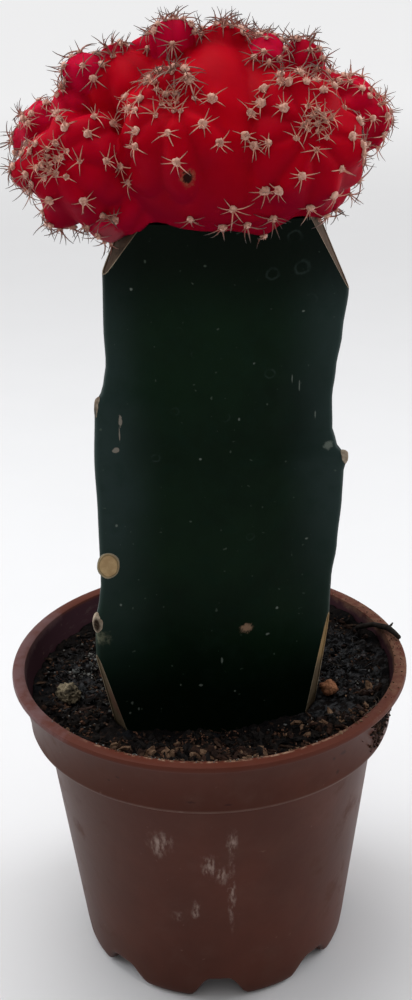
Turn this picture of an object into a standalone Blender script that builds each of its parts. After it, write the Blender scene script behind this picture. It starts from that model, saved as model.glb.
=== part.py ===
"""A grafted moon cactus in a plastic nursery pot, modelled in metres with +Z up.

The origin is on the pot's axis, on the surface that the pot stands on. The stock's broad face looks towards -Y.
"""

import math
import random

import bmesh
import bpy
from mathutils import Matrix, Vector, noise

MM = 0.001
COLLECTION_NAME = "potted_moon_cactus"
SEED = 11

# What every piece keeps from its neighbour.
GAP = 0.3 * MM

# Driving sizes of the pot.
RIM_RADIUS = 32.5 * MM
POT_HEIGHT = 52.6 * MM
WALL = 0.8 * MM
LIP_WIDTH = 1.3 * MM
LIP_THICKNESS = 1.1 * MM
COLLAR_TOP_RADIUS = RIM_RADIUS - LIP_WIDTH
COLLAR_FOOT_RADIUS = 29.8 * MM
COLLAR_FOOT_Z = 42.4 * MM
BODY_TOP_RADIUS = 27.5 * MM
FOOT_RADIUS = 22.3 * MM
SKIRT = 2.2 * MM
FLOOR_UNDERSIDE_Z = 4.6 * MM
FLOOR = 1.0 * MM
POT_SIDES = 40
EDGE_ROUND = 0.3 * MM

# The cut-outs round the foot, high and low in turn, and the drain holes in the floor.
NOTCHES = 8
NOTCH_HEIGHTS = (4.5 * MM, 3.5 * MM)
NOTCH_TOP_WIDTH = 3.3 * MM
NOTCH_FOOT_WIDTH = 8.1 * MM
NOTCH_DEPTH = 6.0 * MM
FIRST_NOTCH_ANGLE = math.radians(-89)
DRAIN_HOLES = 4
DRAIN_RADIUS = 2.2 * MM
DRAIN_CIRCLE = 12.0 * MM

# The potting mix: its level round the stock, its rise to the wall and at the back right, and its roughness.
SOIL_LEVEL = 44.5 * MM
SOIL_FOOT_Z = FLOOR_UNDERSIDE_Z + FLOOR + GAP
SOIL_TOP_RADIUS = 28.9 * MM
SOIL_DISH = 3.1 * MM
SOIL_HEAP = 3.2 * MM
SOIL_HEAP_WAY = Vector((0.85, 0.5))
SOIL_ROUGHNESS = 0.6 * MM
SOIL_LUMP_SIZE = 4.5 * MM
SOIL_SIDES = 36
SOIL_RINGS = 9

# The three-ribbed stock. A rib's reach is listed from below the soil up to the graft, as (height, reach). A cut is
# (height of its start, how far it goes inwards, over what height, its turn from the rib).
STOCK_FOOT_Z = 24.0 * MM
STOCK_TOP_Z = 127.0 * MM
STOCK_FOOT_AXIS = Vector((0.4 * MM, 0.2 * MM))
STOCK_TOP_AXIS = Vector((2.4 * MM, -0.4 * MM))
STOCK_FACE_REACH = 11.4 * MM
STOCK_SLICED_REACH = 14.0 * MM
STOCK_LEVELS = [44, 60, 66, 70, 76, 84, 88.4, 90.2, 92.4, 95, 98.5, 100.6, 103.6, 107, 112, 116.4, 120]
STOCK_RIBS = {
    "left": {
        "angle": math.radians(212),
        "reach": [(24, 21.2), (50, 21.6), (60, 22.0), (66, 21.9), (69, 21.1), (72, 20.7), (84, 20.8), (92, 21.05),
                  (100.6, 20.7), (103.6, 19.15), (107, 18.6), (112, 18.8), (120, 18.7), (127, 18.6)],
        "top_cut": (120.0, 6.0, 8.2, 0.0),
        "foot_cut": (60.0, 3.6, 14.0, 0.0),
    },
    "right": {
        "angle": math.radians(340),
        "reach": [(24, 19.0), (50, 19.1), (66, 19.2), (70, 19.3), (76, 20.0), (84, 20.5), (88.4, 20.6), (90.2, 21.0),
                  (92.4, 19.4), (95, 18.6), (100, 18.4), (104, 18.8), (110, 19.6), (116.4, 20.3), (127, 20.3)],
        "top_cut": (116.4, 5.2, 10.4, math.radians(8)),
        "foot_cut": (64.0, 2.8, 17.5, math.radians(-10)),
    },
    "back": {
        "angle": math.radians(100),
        "reach": [(24, 20.4), (50, 21.0), (64, 21.8), (70, 22.4), (74, 20.9), (84, 20.7), (96, 21.6),
                  (103, 22.4), (107, 20.8), (116, 20.9), (127, 20.6)],
        "top_cut": (116.9, 5.6, 9.4, 0.0),
        "foot_cut": (61.5, 4.6, 16.5, 0.0),
    },
}
# Half the outline of a rib, as (distance in from its edge, half its thickness there). Its root doesn't follow the
# edge: it keeps one distance from the axis and one half thickness.
RIB_OUTLINE = [(0.0, 0.0), (0.35, 0.75), (2.4, 1.7)]
RIB_ROOT = (12.0 * MM, 5.0 * MM)

# The woolly pads on the stock's ribs, as (rib, height, how far in from the rib's edge, how far to its right side).
STOCK_AREOLES = [
    ("left", 100.2, 0.6, 0.0),
    ("left", 75.4, 1.2, 1.1),
    ("left", 65.4, 0.6, 0.0),
    ("right", 90.3, 0.6, 0.0),
    ("back", 103.0, 0.6, 0.0),
    ("back", 69.6, 0.6, 0.0),
]
STOCK_AREOLE_RADIUS = 0.95 * MM

# The scion: a ribbed globe with smaller ones grown out of it. Each head gives its centre and the way its crown
# faces, its radius and half height, all in millimetres, then its ribs, its rows of areoles and its turn in degrees.
HEADS = {
    "mother": ((2.8, 0.3, 135.4), (0.04, 0.39, 0.92), 16.4, 15.0, 9, 6, 12),
    "front": ((-1.7, -8.8, 137.8), (-0.15, -0.66, 0.74), 9.2, 8.2, 9, 3, 0),
    "front_right": ((12.9, -7.6, 136.4), (0.26, -0.87, 0.41), 9.6, 8.8, 9, 3, 10),
    "front_left": ((-15.3, -6.3, 134.4), (-0.48, -0.82, 0.31), 7.7, 7.2, 8, 3, 20),
    "low_left": ((-12.2, -8.6, 127.2), (-0.35, -0.35, -0.87), 2.7, 3.0, 6, 2, 0),
    "under_left": ((-9.2, -6.8, 128.6), (-0.30, -0.50, -0.81), 5.0, 4.6, 8, 2, 10),
    "far_left": ((-21.4, -0.5, 138.2), (-0.85, -0.35, 0.40), 4.1, 3.9, 7, 2, 15),
    "left_middle": ((-16.4, -2.6, 141.8), (-0.60, -0.25, 0.75), 3.9, 3.6, 7, 2, 0),
    "left_shoulder": ((-9.2, -2.2, 143.4), (-0.30, 0.0, 0.95), 6.4, 5.8, 7, 2, 5),
    "left_tip": ((-14.6, -3.6, 146.0), (-0.50, -0.30, 0.82), 2.8, 2.7, 6, 1, 0),
    "left_bud": ((-11.0, -2.0, 148.1), (-0.30, -0.10, 0.95), 1.8, 1.9, 5, 1, 10),
    "top": ((-3.0, -3.0, 149.9), (-0.02, -0.12, 1.0), 3.1, 3.0, 7, 1, 0),
    "top_bud": ((-7.0, -1.0, 148.9), (-0.35, 0.0, 0.94), 1.9, 1.9, 5, 1, 0),
    "crown_cone": ((4.0, -1.8, 143.2), (0.0, 0.0, 1.0), 5.4, 9.6, 6, 1, 30),
    "crown_bud": ((1.3, -1.8, 149.0), (-0.1, 0.0, 1.0), 1.5, 2.2, 5, 1, 0),
    "top_right": ((9.4, -4.8, 147.8), (0.12, -0.55, 0.83), 2.6, 2.5, 6, 1, 8),
    "right_shoulder": ((14.4, -1.8, 146.0), (0.15, 0.0, 0.98), 3.5, 3.9, 6, 2, 0),
    "right_middle": ((18.2, 0.6, 141.8), (0.30, 0.0, 0.95), 3.8, 3.6, 7, 2, 0),
    "far_right": ((22.0, -1.2, 139.4), (0.66, -0.46, 0.59), 4.9, 4.7, 7, 2, 12),
    "low_right": ((17.4, -3.4, 130.8), (0.72, -0.55, -0.30), 4.6, 4.2, 7, 2, 0),
    "back_right": ((12.6, 10.2, 137.2), (0.55, 0.74, 0.38), 7.6, 7.0, 9, 3, 0),
    "back": ((-1.2, 12.0, 138.0), (-0.05, 0.84, 0.54), 7.6, 7.0, 9, 3, 12),
    "back_left": ((-13.4, 8.6, 135.8), (-0.70, 0.62, 0.35), 7.0, 6.4, 8, 3, 0),
    "back_top": ((5.4, 7.6, 146.6), (0.10, 0.40, 0.90), 4.6, 4.2, 7, 2, 6),
    "back_low": ((6.4, 12.6, 129.4), (0.24, 0.84, -0.48), 4.6, 4.0, 7, 2, 0),
    "low_far_left": ((-17.0, 3.6, 130.4), (-0.86, 0.20, -0.46), 4.6, 4.0, 7, 2, 0),
    "low_far_right": ((18.6, 6.0, 132.6), (0.84, 0.40, -0.36), 4.8, 4.2, 7, 2, 0),
}
RIB_DEPTH = 0.13
TUBERCLE_HEIGHT = 0.10
CROWN_DIMPLE = 0.10
FIRST_ROW_ANGLE = 0.34
LAST_ROW_ANGLE = 2.20
BASE_RING_ANGLE = 2.72
BASE_SQUARENESS = 0.75
BASE_SMOOTHING = 0.75
BASE_DEPTH = 0.92
BIG_HEAD_RADIUS = 10.0

# Areoles and spines of the scion. An areole is a low cushion with four sides, and a spine grows from each of them.
CUSHION_RADIUS = 0.5 * MM
CUSHION_HEIGHT = 0.25 * MM
SPINE_LENGTH = (2.0 * MM, 2.9 * MM)
SPINE_SPREAD = (0.60, 1.05)
CROWN_SPREAD = (0.20, 0.50)
BURIED_MARGIN = 0.35 * MM

# Loose bits in and on the potting mix, each as centre, half sizes and turn.
PEBBLE = (Vector((19.6, -3.8, 48.2)) * MM, Vector((1.4, 1.3, 1.2)) * MM, math.radians(25))
BARK_CHIP = (Vector((-23.3, -3.0, 47.9)) * MM, Vector((1.8, 2.3, 1.4)) * MM, math.radians(20))
TWIG_POINTS = [Vector(p) * MM for p in ((25.6, 10.4, 51.4), (28.3, 8.6, 53.0), (30.5, 6.3, 53.5), (31.9, 3.2, 53.5))]
TWIG_RADIUS = 0.45 * MM


def clear_scene():
    for item in list(bpy.data.objects):
        bpy.data.objects.remove(item)


def new_collection(name):
    made = bpy.data.collections.new(name)
    bpy.context.scene.collection.children.link(made)
    return made


def new_material(name, colour, roughness):
    made = bpy.data.materials.new(name)
    made.use_nodes = True
    shader = made.node_tree.nodes["Principled BSDF"]
    shader.inputs["Base Color"].default_value = (*colour, 1.0)
    shader.inputs["Roughness"].default_value = roughness
    shader.inputs["Metallic"].default_value = 0.0
    return made


def mesh_object(name, builder, collection, material=None):
    """An object whose mesh is the bmesh that is handed in."""
    mesh = bpy.data.meshes.new(name)
    builder.to_mesh(mesh)
    builder.free()
    made = bpy.data.objects.new(name, mesh)
    collection.objects.link(made)
    if material:
        mesh.materials.append(material)
    return made


def hide_helper(item):
    item.hide_render = True
    item.display_type = "WIRE"


def boolean(target, operation, other=None, collection=None, solver="EXACT"):
    """Applies one Boolean, with an object or a collection, and removes what it used."""
    step = target.modifiers.new("join", "BOOLEAN")
    step.operation = operation
    step.solver = solver
    if collection:
        step.operand_type = "COLLECTION"
        step.collection = collection
    else:
        step.object = other
    apply_modifiers(target)
    for used in list(collection.objects) if collection else [other]:
        bpy.data.objects.remove(used)


def apply_modifiers(target):
    graph = bpy.context.evaluated_depsgraph_get()
    made = bpy.data.meshes.new_from_object(target.evaluated_get(graph))
    target.modifiers.clear()
    target.data = made


def pot_profile():
    """The pot's section, from the middle of the floor's upper side, over the rim and down to the floor's underside."""
    inner_top = COLLAR_TOP_RADIUS - WALL
    floor_top = FLOOR_UNDERSIDE_Z + FLOOR
    lip_foot = POT_HEIGHT - LIP_THICKNESS
    return [
        (0.0, floor_top),
        (FOOT_RADIUS - 1.2 * MM, floor_top),
        (FOOT_RADIUS - 0.3 * MM, floor_top + 1.0 * MM),
        (BODY_TOP_RADIUS - WALL, COLLAR_FOOT_Z - 0.4 * MM),
        (COLLAR_FOOT_RADIUS - WALL, COLLAR_FOOT_Z + 0.5 * MM),
        (inner_top, POT_HEIGHT - EDGE_ROUND),
        (inner_top + EDGE_ROUND, POT_HEIGHT),
        (RIM_RADIUS - EDGE_ROUND, POT_HEIGHT),
        (RIM_RADIUS, POT_HEIGHT - EDGE_ROUND),
        (RIM_RADIUS, lip_foot),
        (COLLAR_TOP_RADIUS, lip_foot - 0.15 * MM),
        (COLLAR_FOOT_RADIUS, COLLAR_FOOT_Z),
        (BODY_TOP_RADIUS, COLLAR_FOOT_Z - 0.45 * MM),
        (FOOT_RADIUS + 0.55 * MM, 3.0 * MM),
        (FOOT_RADIUS, 0.0),
        (FOOT_RADIUS - SKIRT, 0.0),
        (FOOT_RADIUS - SKIRT, FLOOR_UNDERSIDE_Z),
        (0.0, FLOOR_UNDERSIDE_Z),
    ]


def turned(name, profile, sides, collection, material):
    """A closed turned solid from a profile whose two ends lie on the axis."""
    builder = bmesh.new()
    points = [builder.verts.new((radius, 0.0, height)) for radius, height in profile]
    for start, end in zip(points[:-1], points[1:]):
        builder.edges.new((start, end))
    made = mesh_object(name, builder, collection, material)
    screw = made.modifiers.new("turn", "SCREW")
    screw.steps = screw.render_steps = sides
    screw.use_merge_vertices = True
    screw.merge_threshold = 0.00001
    apply_modifiers(made)
    face_outwards(made)
    return made


def face_outwards(item):
    builder = bmesh.new()
    builder.from_mesh(item.data)
    bmesh.ops.remove_doubles(builder, verts=builder.verts, dist=0.000005)
    bmesh.ops.recalc_face_normals(builder, faces=builder.faces)
    builder.to_mesh(item.data)
    builder.free()


def notch_cutter(angle, notch_height, cutters):
    """A wedge that is wider at the foot than at its top, across the skirt."""
    builder = bmesh.new()
    bmesh.ops.create_cube(builder, size=1.0)
    below = 1.0 * MM
    height = notch_height + below
    slope = (NOTCH_FOOT_WIDTH - NOTCH_TOP_WIDTH) / notch_height
    for corner in builder.verts:
        at_top = corner.co.z > 0
        width = NOTCH_TOP_WIDTH if at_top else NOTCH_TOP_WIDTH + slope * height
        corner.co = Vector((
            FOOT_RADIUS - SKIRT / 2 + corner.co.x * NOTCH_DEPTH,
            corner.co.y * width,
            notch_height if at_top else -below,
        ))
    bmesh.ops.rotate(builder, verts=builder.verts, cent=(0, 0, 0), matrix=Matrix.Rotation(angle, 3, "Z"))
    hide_helper(mesh_object("notch_cutter", builder, cutters))


def drain_cutter(angle, cutters):
    builder = bmesh.new()
    bmesh.ops.create_cone(
        builder, cap_ends=True, segments=10, radius1=DRAIN_RADIUS, radius2=DRAIN_RADIUS, depth=4 * FLOOR
    )
    centre = Vector((DRAIN_CIRCLE * math.cos(angle), DRAIN_CIRCLE * math.sin(angle), FLOOR_UNDERSIDE_Z + FLOOR / 2))
    bmesh.ops.translate(builder, verts=builder.verts, vec=centre)
    hide_helper(mesh_object("drain_cutter", builder, cutters))


def build_pot(parts, cutters, material):
    pot = turned("pot", pot_profile(), POT_SIDES, parts, material)
    for index in range(NOTCHES):
        notch_cutter(FIRST_NOTCH_ANGLE + math.tau * index / NOTCHES, NOTCH_HEIGHTS[index % 2], cutters)
    for index in range(DRAIN_HOLES):
        drain_cutter(math.tau * (index + 0.5) / DRAIN_HOLES, cutters)
    boolean(pot, "DIFFERENCE", collection=cutters)
    return pot


def between(table, height):
    """A smooth value at this height from a table of (height, value), both in millimetres."""
    height = max(table[0][0], min(table[-1][0], height))
    for (low, value), (high, following) in zip(table[:-1], table[1:]):
        if height <= high:
            share = (height - low) / (high - low)
            share = share * share * (3 - 2 * share)
            return value + (following - value) * share
    return table[-1][1]


def stock_axis(height):
    """Where the stock's axis stands at this height: it leans a little."""
    share = (height - STOCK_FOOT_Z) / (STOCK_TOP_Z - STOCK_FOOT_Z)
    return STOCK_FOOT_AXIS.lerp(STOCK_TOP_AXIS, share)


def stock_sides():
    """Each rib of the stock with the way that the face after it looks."""
    ribs = sorted(STOCK_RIBS.values(), key=lambda each: each["angle"])
    for rib, following in zip(ribs, ribs[1:] + ribs[:1]):
        angle = rib["angle"] + ((following["angle"] - rib["angle"]) % math.tau) / 2
        yield rib, Vector((math.cos(angle), math.sin(angle)))


def stock_section(height, grow):
    """The stock's outline at this height, anticlockwise, swollen by grow."""
    outline = []
    axis = stock_axis(height)
    for rib, face in stock_sides():
        reach = between(rib["reach"], height / MM) * MM + grow
        ahead = Vector((math.cos(rib["angle"]), math.sin(rib["angle"])))
        aside = Vector((-ahead.y, ahead.x))
        half = [(reach - depth * MM, thick * MM + grow * min(1.0, thick)) for depth, thick in RIB_OUTLINE]
        half.append((RIB_ROOT[0], RIB_ROOT[1] + grow))
        for along, across in reversed(half[1:]):
            outline.append(axis + ahead * along - aside * across)
        for along, across in half:
            outline.append(axis + ahead * along + aside * across)
        outline.append(axis + face * (STOCK_FACE_REACH + grow))
    return outline


def cut_rib(builder, rib, cut, upwards, grow):
    """Slices a rib's edge off along a slanted plane that starts at its edge."""
    height, inwards, drop, turn = cut
    axis = stock_axis(height * MM)
    edge = Vector((math.cos(rib["angle"]), math.sin(rib["angle"]), 0.0))
    point = Vector((axis.x, axis.y, height * MM)) + edge * between(rib["reach"], height) * MM
    ahead = Vector((math.cos(rib["angle"] + turn), math.sin(rib["angle"] + turn), 0.0))
    tilt = Vector((-ahead.x * inwards, -ahead.y * inwards, drop if upwards else -drop))
    aside = Vector((-ahead.y, ahead.x, 0.0))
    normal = tilt.cross(aside).normalized()
    if normal.dot(ahead) < 0:
        normal.negate()
    cut = bmesh.ops.bisect_plane(
        builder,
        geom=[*builder.verts, *builder.edges, *builder.faces],
        plane_co=point + normal * grow,
        plane_no=normal,
        clear_outer=True,
    )
    edges = [item for item in cut["geom_cut"] if isinstance(item, bmesh.types.BMEdge)]
    bmesh.ops.holes_fill(builder, edges=edges)


def stock_bmesh(grow=0.0, low=STOCK_FOOT_Z, high=STOCK_TOP_Z):
    """The stock as a loft of its sections with its ribs sliced off at both ends."""
    builder = bmesh.new()
    rings = []
    for height in [low, *(level * MM for level in STOCK_LEVELS if low < level * MM < high), high]:
        rings.append([builder.verts.new((point.x, point.y, height)) for point in stock_section(height, grow)])
    for lower, upper in zip(rings[:-1], rings[1:]):
        for index in range(len(lower)):
            following = (index + 1) % len(lower)
            builder.faces.new((lower[index], lower[following], upper[following], upper[index]))
    builder.faces.new(list(reversed(rings[0])))
    builder.faces.new(rings[-1])
    for rib in STOCK_RIBS.values():
        cut_rib(builder, rib, rib["top_cut"], True, grow)
        cut_rib(builder, rib, rib["foot_cut"], False, grow)
    bmesh.ops.triangulate(builder, faces=[face for face in builder.faces if len(face.verts) > 4])
    bmesh.ops.recalc_face_normals(builder, faces=builder.faces)
    return builder


def stock_areole(rib_name, height, inwards, aside, collection):
    """A low woolly pad, set on a rib's edge or beside it."""
    rib = STOCK_RIBS[rib_name]
    ahead = Vector((math.cos(rib["angle"]), math.sin(rib["angle"]), 0.0))
    rightwards = Vector((-ahead.y, ahead.x, 0.0))
    axis = stock_axis(height * MM)
    reach = between(rib["reach"], height) * MM
    builder = bmesh.new()
    bmesh.ops.create_icosphere(builder, subdivisions=1, radius=STOCK_AREOLE_RADIUS)
    bmesh.ops.scale(builder, verts=builder.verts, vec=(1.0, 1.0, 1.6))
    centre = Vector((axis.x, axis.y, height * MM)) + ahead * (reach - inwards * MM) + rightwards * aside * MM
    bmesh.ops.translate(builder, verts=builder.verts, vec=centre)
    mesh_object("stock_areole", builder, collection)


def build_stock(parts, joined, material):
    stock = mesh_object("rootstock", stock_bmesh(), parts, material)
    for rib_name, height, inwards, aside in STOCK_AREOLES:
        stock_areole(rib_name, height, inwards, aside, joined)
    boolean(stock, "UNION", collection=joined, solver="MANIFOLD")
    return stock


def soil_height(x, y):
    """The level of the potting mix: a dish that rises to the wall, heaped at the back right and roughened."""
    lumps = noise.noise(Vector((x, y, 0.0)) / SOIL_LUMP_SIZE)
    fine = noise.noise(Vector((x, y, 0.01)) / (SOIL_LUMP_SIZE * 0.45))
    edge = (x * x + y * y) / (SOIL_TOP_RADIUS * SOIL_TOP_RADIUS)
    heap = max(0.0, SOIL_HEAP_WAY.dot(Vector((x, y))) / SOIL_TOP_RADIUS) ** 2
    return SOIL_LEVEL + SOIL_DISH * edge + SOIL_HEAP * heap + SOIL_ROUGHNESS * (lumps + 0.6 * fine)


def soil_wall():
    """The potting mix's section against the pot's wall, as (radius, height) from the top down."""
    body_top = BODY_TOP_RADIUS - WALL - GAP
    ledge_z = COLLAR_FOOT_Z - 0.1 * MM
    foot = FOOT_RADIUS - 0.3 * MM - GAP
    return [
        (SOIL_TOP_RADIUS - 0.2 * MM, ledge_z + 1.1 * MM),
        (body_top, ledge_z),
        (foot, SOIL_FOOT_Z + 1.0 * MM),
        (foot - 0.9 * MM, SOIL_FOOT_Z),
    ]


def soil_ring(builder, radius, height=None, turn=0.0):
    """A ring of corners, at one height or on the rough top."""
    ring = []
    for index in range(SOIL_SIDES):
        angle = math.tau * (index + turn) / SOIL_SIDES
        x, y = radius * math.cos(angle), radius * math.sin(angle)
        ring.append(builder.verts.new((x, y, soil_height(x, y) if height is None else height)))
    return ring


def build_soil(parts, cutters, material):
    """The body of potting mix, with a rough top and a plain hole for the stock."""
    builder = bmesh.new()
    rim = soil_ring(builder, SOIL_TOP_RADIUS)
    outer = rim
    for ring in range(SOIL_RINGS - 1, 0, -1):
        inner = soil_ring(builder, SOIL_TOP_RADIUS * ring / SOIL_RINGS, turn=0.5 * ((SOIL_RINGS - ring) % 2))
        bridge(builder, outer, inner)
        outer = inner
    builder.faces.new(outer)
    upper = rim
    for radius, height in soil_wall():
        lower = soil_ring(builder, radius, height)
        bridge(builder, upper, lower)
        upper = lower
    builder.faces.new(upper)
    bmesh.ops.triangulate(builder, faces=builder.faces)
    bmesh.ops.recalc_face_normals(builder, faces=builder.faces)
    soil = mesh_object("soil", builder, parts, material)
    hole = mesh_object("stock_hole", stock_bmesh(grow=GAP, low=STOCK_FOOT_Z - GAP, high=60 * MM), cutters)
    hide_helper(hole)
    boolean(soil, "DIFFERENCE", other=hole)
    return soil


def bridge(builder, one, other):
    for index in range(len(one)):
        following = (index + 1) % len(one)
        builder.faces.new((one[index], one[following], other[following], other[index]))


def head_matrix(head):
    """Turns a head's own axes, crown up, into the part's."""
    centre, crown, _, _, _, _, turn = head
    facing = Vector(crown).to_track_quat("Z", "Y").to_matrix()
    spin = Matrix.Rotation(math.radians(turn), 3, "Z")
    return Matrix.Translation(Vector(centre) * MM) @ (facing @ spin).to_4x4()


def row_angle(row, rows):
    """The angle from the crown of a row of areoles: rows stand closer near the crown."""
    return FIRST_ROW_ANGLE + (LAST_ROW_ANGLE - FIRST_ROW_ANGLE) * (row / rows) ** 1.15


def head_point(head, angle, turn, row):
    """A point of a head's ribbed skin, in the head's own axes. Row counts areoles along a rib."""
    _, _, radius, half_height, ribs, _, _ = head
    crest = abs(math.cos(ribs * turn / 2))
    across, along = math.sin(angle), math.cos(angle)
    relief = across ** 0.7
    if along < 0:
        relief *= 1 + BASE_SMOOTHING * along
        across, along = across ** BASE_SQUARENESS, -((-along) ** BASE_SQUARENESS)
    swell = 1.0 - RIB_DEPTH * (1.0 - crest ** 0.8) * relief
    swell += TUBERCLE_HEIGHT * crest ** 2 * relief * (math.cos(math.pi * row) ** 2 - 0.5)
    swell -= CROWN_DIMPLE * math.exp(-((angle / 0.30) ** 2))
    if along < 0:
        along *= BASE_DEPTH
    return Vector((
        radius * MM * swell * across * math.cos(turn),
        radius * MM * swell * across * math.sin(turn),
        half_height * MM * swell * along,
    ))


def skin_facing(head, angle, turn, row):
    """The way the skin faces at this point, in the head's own axes."""
    ahead = head_point(head, angle + 0.05, turn, row) - head_point(head, angle - 0.05, turn, row)
    aside = head_point(head, angle, turn + 0.05, row) - head_point(head, angle, turn - 0.05, row)
    return ahead.cross(aside).normalized()


def height_above(head, point):
    """How far this point stands out of a head's skin, roughly, and below zero inside it."""
    local = head_matrix(head).inverted() @ point
    flat = math.hypot(local.x, local.y) / head[2]
    angle = math.atan2(flat, local.z / head[3])
    return local.length - head_point(head, angle, math.atan2(local.y, local.x), 0.25).length


def in_stock(point, margin):
    """Whether this point lies inside the stock's top, or nearer to it than the margin."""
    offset = point.xy - stock_axis(point.z)
    if point.z > STOCK_TOP_Z + margin or offset.length > STOCK_SLICED_REACH + margin:
        return False
    return all(offset.dot(face) < STOCK_FACE_REACH + margin for _, face in stock_sides())


def carries_areole(name, head, angle, turn, row):
    """Whether this spot of a head stays clear of the other heads and of the stock."""
    point = head_matrix(head) @ head_point(head, angle, turn, row)
    others = (other for other_name, other in HEADS.items() if other_name != name)
    return not in_stock(point, BURIED_MARGIN) and all(height_above(other, point) > BURIED_MARGIN for other in others)


def grow_areole(builder, corner, facing, spread, draw):
    """Turns one corner of a head's mesh into a low cushion with a spine on each of its sides."""
    patch = bmesh.ops.bevel(builder, geom=[corner], offset=CUSHION_RADIUS, affect="VERTICES", segments=1)["faces"]
    cushion = bmesh.ops.poke(builder, faces=patch)
    middle = cushion["verts"][0]
    middle.co += facing * CUSHION_HEIGHT
    for tip in bmesh.ops.poke(builder, faces=cushion["faces"])["verts"]:
        offset = tip.co - middle.co
        out = (offset - facing * offset.dot(facing)).normalized()
        lean = draw.uniform(*spread)
        way = facing * math.cos(lean) + out * math.sin(lean)
        tip.co = middle.co + way * draw.uniform(*SPINE_LENGTH)


def head_bmesh(name, head, draw):
    """A ribbed globe: each ring of its ball is moved to a row of areoles or to the dip between two rows."""
    _, _, radius, _, ribs, rows, _ = head
    per_rib = 4 if radius > BIG_HEAD_RADIUS else 2
    rings = 2 * rows + 3
    spots = []
    builder = bmesh.new()
    bmesh.ops.create_uvsphere(builder, u_segments=ribs * per_rib, v_segments=rings, radius=1.0)
    for corner in builder.verts:
        ring = round(math.acos(max(-1.0, min(1.0, corner.co.z))) * rings / math.pi)
        turn = math.atan2(corner.co.x, corner.co.y)
        row = (ring - 1) / 2
        angle = {0: 0.0, rings - 1: BASE_RING_ANGLE, rings: math.pi}.get(ring, row_angle(max(0.0, row), rows))
        corner.co = head_point(head, angle, turn, row)
        on_crest = abs(math.cos(ribs * turn / 2)) > 0.99
        if on_crest and row in range(rows + 1) and (row > 0 or round(ribs * turn / math.tau) % 2 == 0):
            if carries_areole(name, head, angle, turn, row):
                spots.append((corner, skin_facing(head, angle, turn, row), row))
    bmesh.ops.reverse_faces(builder, faces=builder.faces)
    for corner, facing, row in spots:
        grow_areole(builder, corner, facing, SPINE_SPREAD if row > 0 else CROWN_SPREAD, draw)
    bmesh.ops.triangulate(builder, faces=builder.faces)
    bmesh.ops.transform(builder, verts=builder.verts, matrix=head_matrix(head))
    return builder


def keep_outer_shell(item):
    """Drops the inner skins of hollows that the joining sealed, which fills them."""
    builder = bmesh.new()
    builder.from_mesh(item.data)
    left = set(builder.verts)
    shells = []
    while left:
        stack = [left.pop()]
        shell = set(stack)
        while stack:
            for edge in stack.pop().link_edges:
                for corner in edge.verts:
                    if corner in left:
                        left.remove(corner)
                        shell.add(corner)
                        stack.append(corner)
        shells.append(shell)
    shells.sort(key=len)
    for shell in shells[:-1]:
        bmesh.ops.delete(builder, geom=list(shell), context="VERTS")
    builder.to_mesh(item.data)
    builder.free()


def build_scion(parts, joined, cutters, material):
    """All heads as one body, seated over the top of the stock."""
    draw = random.Random(SEED)
    scion = mesh_object("scion", head_bmesh("mother", HEADS["mother"], draw), parts, material)
    for name, head in HEADS.items():
        if name != "mother":
            mesh_object(name, head_bmesh(name, head, draw), joined)
    boolean(scion, "UNION", collection=joined, solver="MANIFOLD")
    seat = mesh_object("stock_seat", stock_bmesh(grow=GAP, low=100 * MM, high=STOCK_TOP_Z + GAP), cutters)
    hide_helper(seat)
    boolean(scion, "DIFFERENCE", other=seat, solver="MANIFOLD")
    keep_outer_shell(scion)
    return scion


def build_lump(name, facts, seed, parts, material):
    """A small rough stone or chip."""
    centre, half, turn = facts
    builder = bmesh.new()
    bmesh.ops.create_icosphere(builder, subdivisions=2, radius=1.0)
    for corner in builder.verts:
        rough = 1.0 + 0.28 * noise.noise(corner.co * 1.3 + Vector((seed, 0, 0)))
        corner.co = Vector((corner.co.x * half.x, corner.co.y * half.y, corner.co.z * half.z)) * rough
    place = Matrix.Translation(centre) @ Matrix.Rotation(turn, 4, "Z")
    bmesh.ops.transform(builder, verts=builder.verts, matrix=place)
    return mesh_object(name, builder, parts, material)


def build_twig(parts, material):
    """A thin twig that lies with one end in the mix and the other over the rim."""
    curve = bpy.data.curves.new("twig", "CURVE")
    curve.dimensions = "3D"
    curve.bevel_depth = TWIG_RADIUS
    curve.bevel_resolution = 1
    curve.use_fill_caps = True
    line = curve.splines.new("POLY")
    line.points.add(len(TWIG_POINTS) - 1)
    for slot, point in zip(line.points, TWIG_POINTS):
        slot.co = (*point, 1.0)
    twig = bpy.data.objects.new("twig", curve)
    parts.objects.link(twig)
    curve.materials.append(material)
    return twig


def main():
    clear_scene()
    parts = new_collection(COLLECTION_NAME)
    joined = new_collection("to_join")
    cutters = new_collection("cutters")
    cutters.hide_render = True
    plastic = new_material("brown_plastic", (0.16, 0.045, 0.03), 0.45)
    earth = new_material("potting_mix", (0.012, 0.010, 0.009), 0.95)
    green = new_material("stock_green", (0.006, 0.016, 0.012), 0.40)
    red = new_material("scion_red", (0.55, 0.006, 0.02), 0.40)
    stone = new_material("clay_pebble", (0.34, 0.13, 0.06), 0.85)
    bark = new_material("bark", (0.30, 0.22, 0.12), 0.90)
    wood = new_material("twig_wood", (0.03, 0.025, 0.02), 0.90)
    build_pot(parts, cutters, plastic)
    build_stock(parts, joined, green)
    build_soil(parts, cutters, earth)
    build_scion(parts, joined, cutters, red)
    build_lump("pebble", PEBBLE, 3.0, parts, stone)
    build_lump("bark_chip", BARK_CHIP, 7.0, parts, bark)
    build_twig(parts, wood)


main()
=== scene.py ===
import math
import random
from collections import namedtuple
from math import radians

import bmesh
import bpy
import numpy as np
from mathutils import Matrix, Vector, noise
from mathutils.bvhtree import BVHTree


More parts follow.
